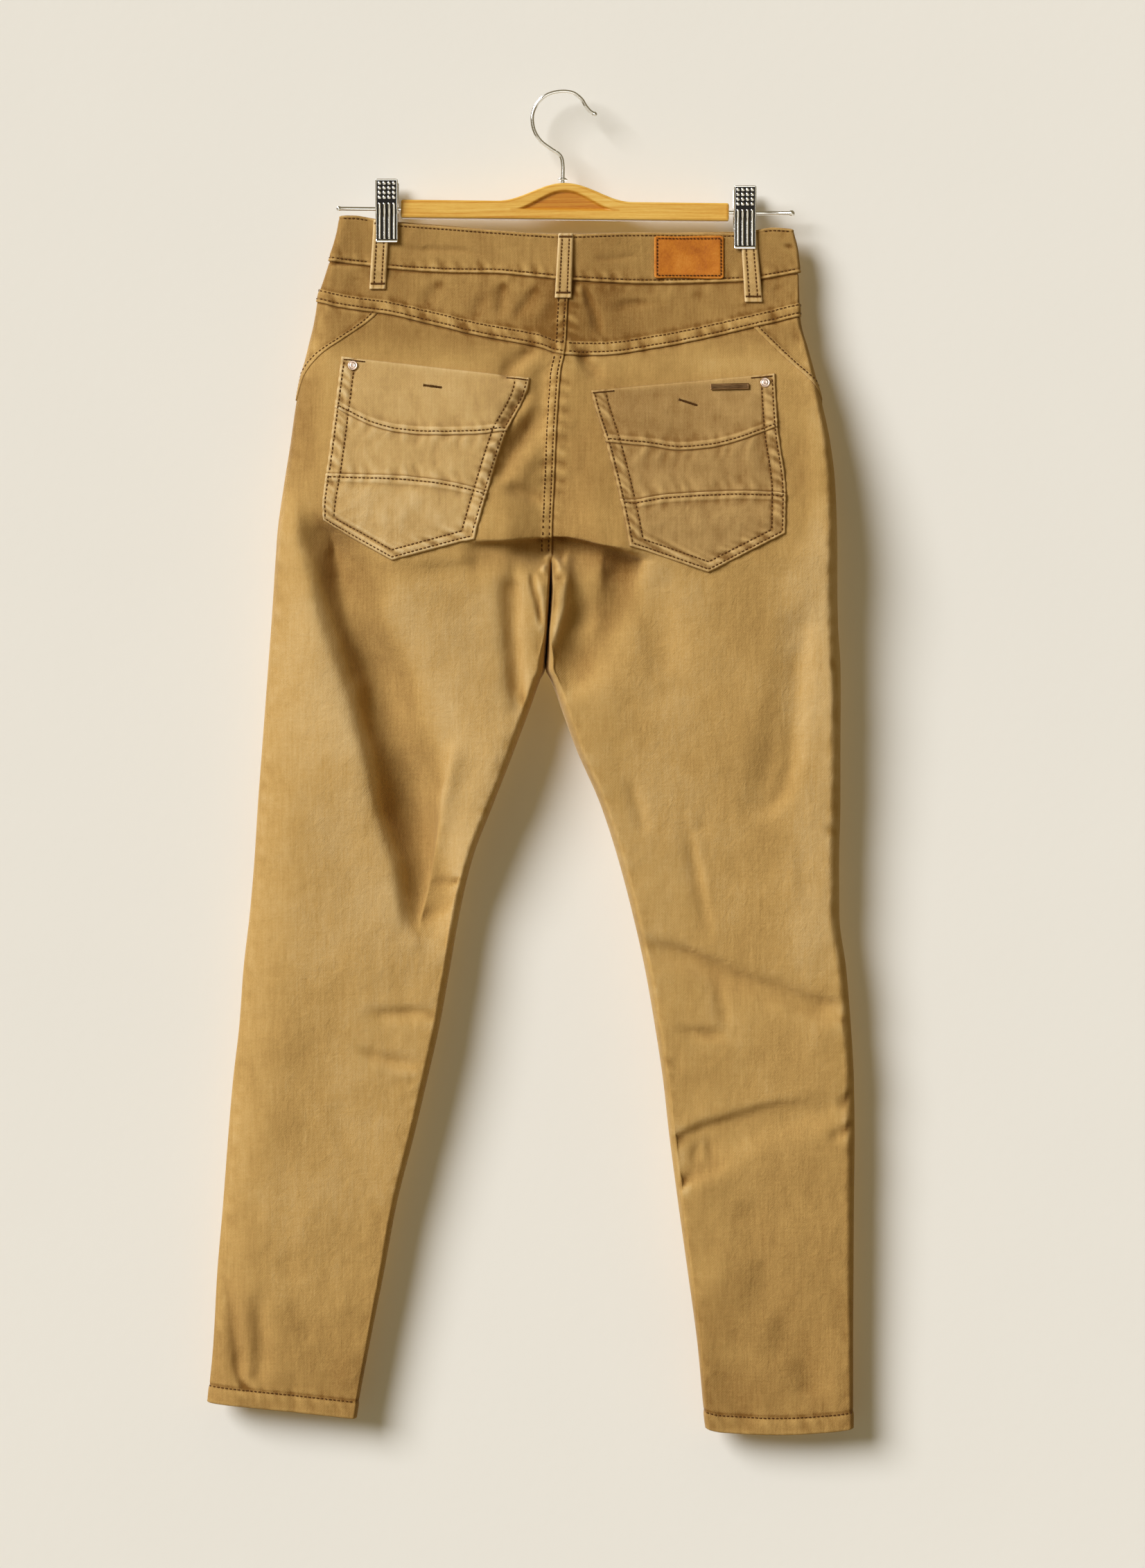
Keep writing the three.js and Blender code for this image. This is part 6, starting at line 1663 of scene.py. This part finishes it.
L, H, TH = BAR["length"] / 2, BAR["height"] / 2, BAR["thick"] / 2
arch = lambda x: np.where(np.abs(x) >= BAR["half"], 0, BAR["arch"] * (np.cos(np.pi * x / BAR["half"]) + 1) / 2)
u = np.concatenate([spread(12, 0.6) * 0.03, 0.03 + 0.94 * np.linspace(0, 1, 145)[1:], 0.97 + spread(12, 0.6)[1:] * 0.03])
v = spread(40, 0.55)
UU, VV = np.meshgrid(u, v)
X = -L + 2 * L * UU
cut = 2.2 - np.sqrt(np.maximum(0, 2.2 ** 2 - np.maximum(0, 2.2 - np.minimum(X + L, L - X)) ** 2))
low_z, high_z = -H + cut, H + arch(X) - cut
Zb = low_z + (high_z - low_z) * VV
slope = np.hypot(1, np.gradient(arch(X[0]), X[0]))
dist = np.minimum(np.minimum((Zb - low_z), (high_z - Zb) / slope[None, :]) + cut, np.minimum(X + L, L - X))
bev = 1.7
Yb = TH - bev * (1 - rounded(np.clip(dist / bev, 0, 1)))
lens_top = 0.4 + 16.4 * 0.5 * (1 + np.cos(np.pi * np.clip(X / 46, -1, 1)))
lens = np.where(np.abs(X) < 46, np.minimum(Zb - 0.4, (lens_top - Zb) * 0.85), -1)
Yb = Yb - 2.4 * smooth(lens / 1.1)
# painted shade in the sunk arch, along its rim and along the bevels' inner line
hollow = 0.95 * smooth(lens / 1.4) + 0.55 * np.exp(-(((dist - bev) / 0.45) ** 2)) + 0.5 * np.exp(-((lens / 0.6) ** 2)) * (np.abs(X) < 46)
wear = 0.5 * np.exp(-((dist / 0.9) ** 2))
near = on_bar(np.stack([X, -Yb, Zb], -1))
far = on_bar(np.stack([X, Yb, Zb], -1))
bar_obj = grid_shell("v_hanger_bar", near, far, WOOD, ["hanger_bar"], wear, np.clip(hollow, 0, 1), bulge=0.0)
# the far face gets the same painted shade
a_far = bar_obj.data.attributes["hollow"].data
vals = np.zeros(len(bar_obj.data.vertices), np.float32)
a_far.foreach_get("value", vals)
nn = X.size
vals[nn:2 * nn] = np.clip(hollow, 0, 1).ravel()
a_far.foreach_set("value", vals)

for name, e, ball in (("left", -1, 2.1), ("right", 1, 2.6)):
    tip = L + (52 if e < 0 else 52.6)
    prof = [(1.65, L - 24), (1.65, L - 10), (1.65, L + 20), (1.65, tip - ball * 0.8)]
    for k in range(1, 12):
        a = math.pi * (0.28 + 0.72 * k / 11)
        prof.append((max(ball * math.sin(a), 0.01), tip - ball * math.cos(a)))
    v, q, t = lathe([(r, h * 1.0) for r, h in prof], (0, 0, 0), (e, 0, 0), 32)
    solid_piece(f"v_rod_{name}", (on_bar(v), q, t), CHROME, [f"rod_{name}"])

HOOK = [(0, -86), (0, -72), (0, -60), (-2.3, -52.2), (-10.4, -46.4), (-18, -40.6), (-23.2, -33.1), (-25.5, -24.4), (-24.9, -15.8), (-20.3, -7.2), (-12.2, -1.0), (-1.2, 1.5), (8.7, 0.2), (15.6, -5), (19.4, -11), (22.8, -15), (26.7, -17.6)]
path = catmull([(x, 0, z) for x, z in HOOK], 12)
tube = sweep(path, 1.45, 24)
knob = lathe([(2.0 * math.sin(a), -2.0 * math.cos(a)) for a in np.linspace(0.02, math.pi - 0.02, 14)], (26.7, 0, -17.6), (0.8, 0, -0.5), 24)
solid_piece("v_hanger_hook", join([tube, knob]), CHROME, ["hanger_hook"])
collar = lathe([(1.6, -73.2), (3.75, -73.2), (3.9, -73.0), (3.9, -72.5), (3.6, -72.2), (2.9, -71.9), (2.6, -71.4), (2.4, -71.2), (1.6, -71.2)], (0, 0, 0), (0, 0, 1), 40)
solid_piece("v_hook_collar", collar, CHROME, ["hook_collar"], 40)


def box_mesh(x0, x1, poly):
    """A thin plate: a polygon in (y, z) drawn out from x0 to x1."""
    p = np.array(poly, float)
    n = len(p)
    a = np.stack([np.full(n, x0), p[:, 0], p[:, 1]], 1)
    b = np.stack([np.full(n, x1), p[:, 0], p[:, 1]], 1)
    return ring_mesh([a, b])


for name, cx, top in (("left", -147.3, -73.7), ("right", 152.5, -79.2)):
    rod_z = BAR["z"] - (cx - BAR["x"]) * math.sin(BAR["tilt"])
    low = top - 52.6
    for kind, jaw, out, half_w in (("near", -8.4, -1, 8.6), ("far", 6.2, 1, 7.2)):
        prof = curve(sorted([(top, jaw + out * 5), (rod_z + 8, jaw + out * 2.7), (rod_z, jaw + out * 1.6), (rod_z - 8, jaw), (low + 1, jaw), (low, jaw + out * 0.5)]))
        S, T = np.meshgrid(spread(52, 0.25), spread(116, 0.12))
        r = 1.7
        zz = top + (low - top) * T
        dz = np.minimum(top - zz, zz - low)
        corner = r - np.sqrt(np.maximum(0, r * r - np.maximum(0, r - dz) ** 2))
        xx = (-9.3 + corner) + (18.6 - 2 * corner) * S
        edge = np.minimum(np.minimum(xx + 9.3, 9.3 - xx), dz)
        rel = -0.55 * (1 - rounded(edge / 0.9))
        # pressed dots on the grip and ribs down the jaw
        for i in range(4):
            for j in range(4):
                dx, dzz = xx - (-6.0 + 4.0 * i), zz - (top - 3.6 - 3.9 * j)
                rel += 0.55 * np.sqrt(np.maximum(0, 1 - (dx * dx + dzz * dzz) / 1.35 ** 2))
        for i in range(4):
            dx = np.abs(xx - (-6.0 + 4.0 * i))
            rib = smooth((1.15 - dx) / 0.7) * smooth((top - 19.5 - zz) / 1.0) * smooth((zz - (low + 2.6)) / 1.0)
            rel += 0.55 * rib
        rel += 0.3 * np.exp(-(((zz - (low + 1.2)) / 0.7) ** 2))
        y_in = prof(zz)
        y_out = y_in + out * (1.6 + rel)
        outer = np.stack([cx + xx, y_out, zz], -1)
        inner = np.stack([cx + xx, y_in, zz], -1)
        # painted dark reflection on the flat plate between the dots and ribs
        painted_dark_plate = smooth((zz - (low + 1.8)) / 0.6) * smooth((top - 0.9 - zz) / 0.5) * smooth((8.6 - np.abs(xx)) / 0.5)
        painted_dark_plate = painted_dark_plate * np.clip(1 - (rel + 0.02) / 0.28, 0, 1)
        plate = grid_shell(f"v_clip_{name}_{kind}", outer, inner, CHROME, [f"clip_{name}_{kind}"], hollow=np.clip(painted_dark_plate, 0, 1), bulge=0.1)
        cheeks = []
        for e in (-1, 1):
            b = -out * 3.2
            poly = [(jaw + out * 3.1, rod_z + 7), (jaw + out * 1.3, rod_z - 6), (b + out * 2, rod_z - 3.4), (b + out * 0.6, rod_z - 2.0), (b, rod_z), (b + out * 0.6, rod_z + 2.0), (b + out * 2, rod_z + 3.4)]
            cheeks.append(box_mesh(cx + e * half_w - 0.5, cx + e * half_w + 0.5, poly))
        ch = solid_piece(f"v_clip_{name}_{kind}_cheeks", join(cheeks), CHROME, [], 30)
    turns, nper = 9, 22
    a = np.linspace(0, 2 * np.pi * turns, turns * nper)
    helix = np.stack([cx - 5.6 + 11.2 * a / a[-1], 2.85 * np.cos(a), rod_z + 2.85 * np.sin(a)], 1)
    legs_up = np.array([[cx - 5.6, 2.85 + 0.0, rod_z - 0.01]])
    solid_piece(f"v_clip_{name}_spring", sweep(helix, 0.55, 10, up=(1, 0, 0)), CHROME, [f"clip_{name}_spring"])

# ---- rivets, bar and button
for name, side, x, z in (("left", -1, -175.2, -230.8), ("right", 1, 168.8, -245.3)):
    c, _, n = on_face(side, -1, np.array([x]), np.array([z]), np.array([2.7]))
    prof = [(3.6, -0.2), (4.0, 0.0), (4.1, 0.3), (3.9, 0.62), (3.5, 0.75), (3.1, 0.62), (2.8, 0.5), (2.5, 0.55), (2.2, 0.85), (1.7, 1.02), (1.3, 0.95), (1.0, 0.8), (0.6, 0.86), (0.02, 0.92)]
    solid_piece(f"v_rivet_{name}", lathe(prof, c[0], n[0], 40), COPPER, [f"rivet_{name}"])

c, _, n = on_face(1, -1, np.array([139.2]), np.array([-248.9]), np.array([3.2]))
n0 = n[0]
upv = np.array([-0.02, 0, 1.0]); upv -= n0 * (upv @ n0); upv /= np.linalg.norm(upv)
al = np.cross(upv, n0)
S, T = np.meshgrid(spread(60, 0.3), spread(22, 0.3))
bx, bz = (S - 0.5) * 32.5, (T - 0.5) * 5.2
r = 1.0
ddz = 2.6 - np.abs(bz)
corner = r - np.sqrt(np.maximum(0, r * r - np.maximum(0, r - ddz) ** 2))
bx = bx * (1 - corner / 16.25)
edge = np.minimum(16.25 - np.abs(bx), ddz)
hgt = 0.9 - 0.45 * (1 - rounded(edge / 0.7)) - 0.12 * smooth((edge - 0.9) / 0.3)
outer = c[0] + al * bx[..., None] + upv * bz[..., None] + n0 * hgt[..., None]
inner = c[0] + al * bx[..., None] + upv * bz[..., None] + n0 * 0.0
pieces["label_bar"] = grid_shell("v_label_bar", outer, inner, BRONZE, ["label_bar"], None, 0.4 * smooth((edge - 0.9) / 0.3), bulge=0.05)

c, _, n = on_face(-1, 1, np.array([-8.0]), np.array([-137.0]), np.array([1.5]))
prof = [(4.4, -0.1), (4.6, 0.2), (4.6, 0.9), (8.0, 1.0), (8.4, 1.2), (8.5, 1.6), (8.3, 2.1), (7.8, 2.45), (7.1, 2.5), (6.6, 2.25), (6.1, 2.05), (5.2, 2.1), (4.0, 2.25), (2.0, 2.38), (0.02, 2.4)]
solid_piece("v_button", lathe(prof, c[0], n[0], 56), BRONZE, ["button"])

# ---------------------------------------------------------------- what each sheet was cut as
FLAT = {
    "back_left": (0.262, 0.935, None), "back_right": (0.262, 0.935, None),
    "front_left": (0.255, 0.985, None), "front_right": (0.255, 0.985, None),
    "yoke_left": (0.225, 0.070, None), "yoke_right": (0.225, 0.070, None),
    "hip_left": (0.150, 0.110, None), "hip_right": (0.160, 0.110, None),
    "waistband_back": (0.400, 0.042, None), "waistband_front_left": (0.205, 0.042, None), "waistband_front_right": (0.230, 0.042, None),
    "fly_shield": (0.040, 0.155, None),
}
for l in LOOPS:
    FLAT[l[0]] = (0.014, 0.062, None)
for name in POCKETS:
    FLAT[f"pocket_{name}_band"] = (0.158, 0.052, None)
    FLAT[f"pocket_{name}_body"] = (0.150, 0.050, None)
    FLAT[f"pocket_{name}_foot"] = (0.135, 0.062, None)
FLAT["leather_patch"] = (0.058, 0.036, None)


def half_area(o):
    me = o.data
    a = np.zeros(len(me.polygons), np.float32)
    me.polygons.foreach_get("area", a)
    return float(a.sum()) / 2


for key, (w, l, area) in FLAT.items():
    o = pieces[key]
    real = half_area(o)
    cut = min(w * l, max(0.31 * w * l, real * 0.985))

# ---------------------------------------------------------------- stage
def stage_plane(name, corners_mm, mat):
    me = bpy.data.meshes.new(name)
    me.from_pydata([tuple(np.array(c) * MM) for c in corners_mm], [], [(0, 1, 2, 3)])
    me.materials.append(mat)
    o = bpy.data.objects.new(name, me)
    scene.collection.objects.link(o)
    return o


def plaster(name, tone, see_through_back):
    n = Net(name)
    v = n.noise(n.scaled(1, 1, 1), 3.0, 3.0, 0.6)
    fine = n.noise(n.scaled(1, 1, 1), 120, 3.0, 0.6)
    colour = n.blend(n.remap(v, 0.3, 0.7, 0.0, 1.0), tuple(c * 0.985 for c in tone[:3]) + (1,), tone)
    n.finish(colour, n.remap(v, 0.3, 0.7, 0.88, 0.96), n.bump(fine, 0.0004, 0.25), Specular_IOR_Level=0.1)
    if see_through_back:
        geo = n.t.nodes.new("ShaderNodeNewGeometry")
        clear = n.t.nodes.new("ShaderNodeBsdfTransparent")
        mixer = n.t.nodes.new("ShaderNodeMixShader")
        n.t.links.new(geo.outputs["Backfacing"], mixer.inputs[0])
        n.t.links.new(n.bsdf.outputs[0], mixer.inputs[1])
        n.t.links.new(clear.outputs[0], mixer.inputs[2])
        n.t.links.new(mixer.outputs[0], n.out.inputs["Surface"])
    return n.mat


WALL_Y = 23.6
wall = stage_plane("wall", [(-1600, WALL_Y, -1340), (1600, WALL_Y, -1340), (1600, WALL_Y, 900), (-1600, WALL_Y, 900)], plaster("pale_wall", lin(237, 234, 225), True))
wall.visible_diffuse = False
wall.visible_glossy = False
wall.visible_transmission = False
wall.visible_shadow = False
floor = stage_plane("floor", [(-3000, -4000, -1340), (3000, -4000, -1340), (3000, 4000, -1340), (-3000, 4000, -1340)], plaster("pale_floor", lin(232, 228, 218), False))

floor.visible_diffuse = False
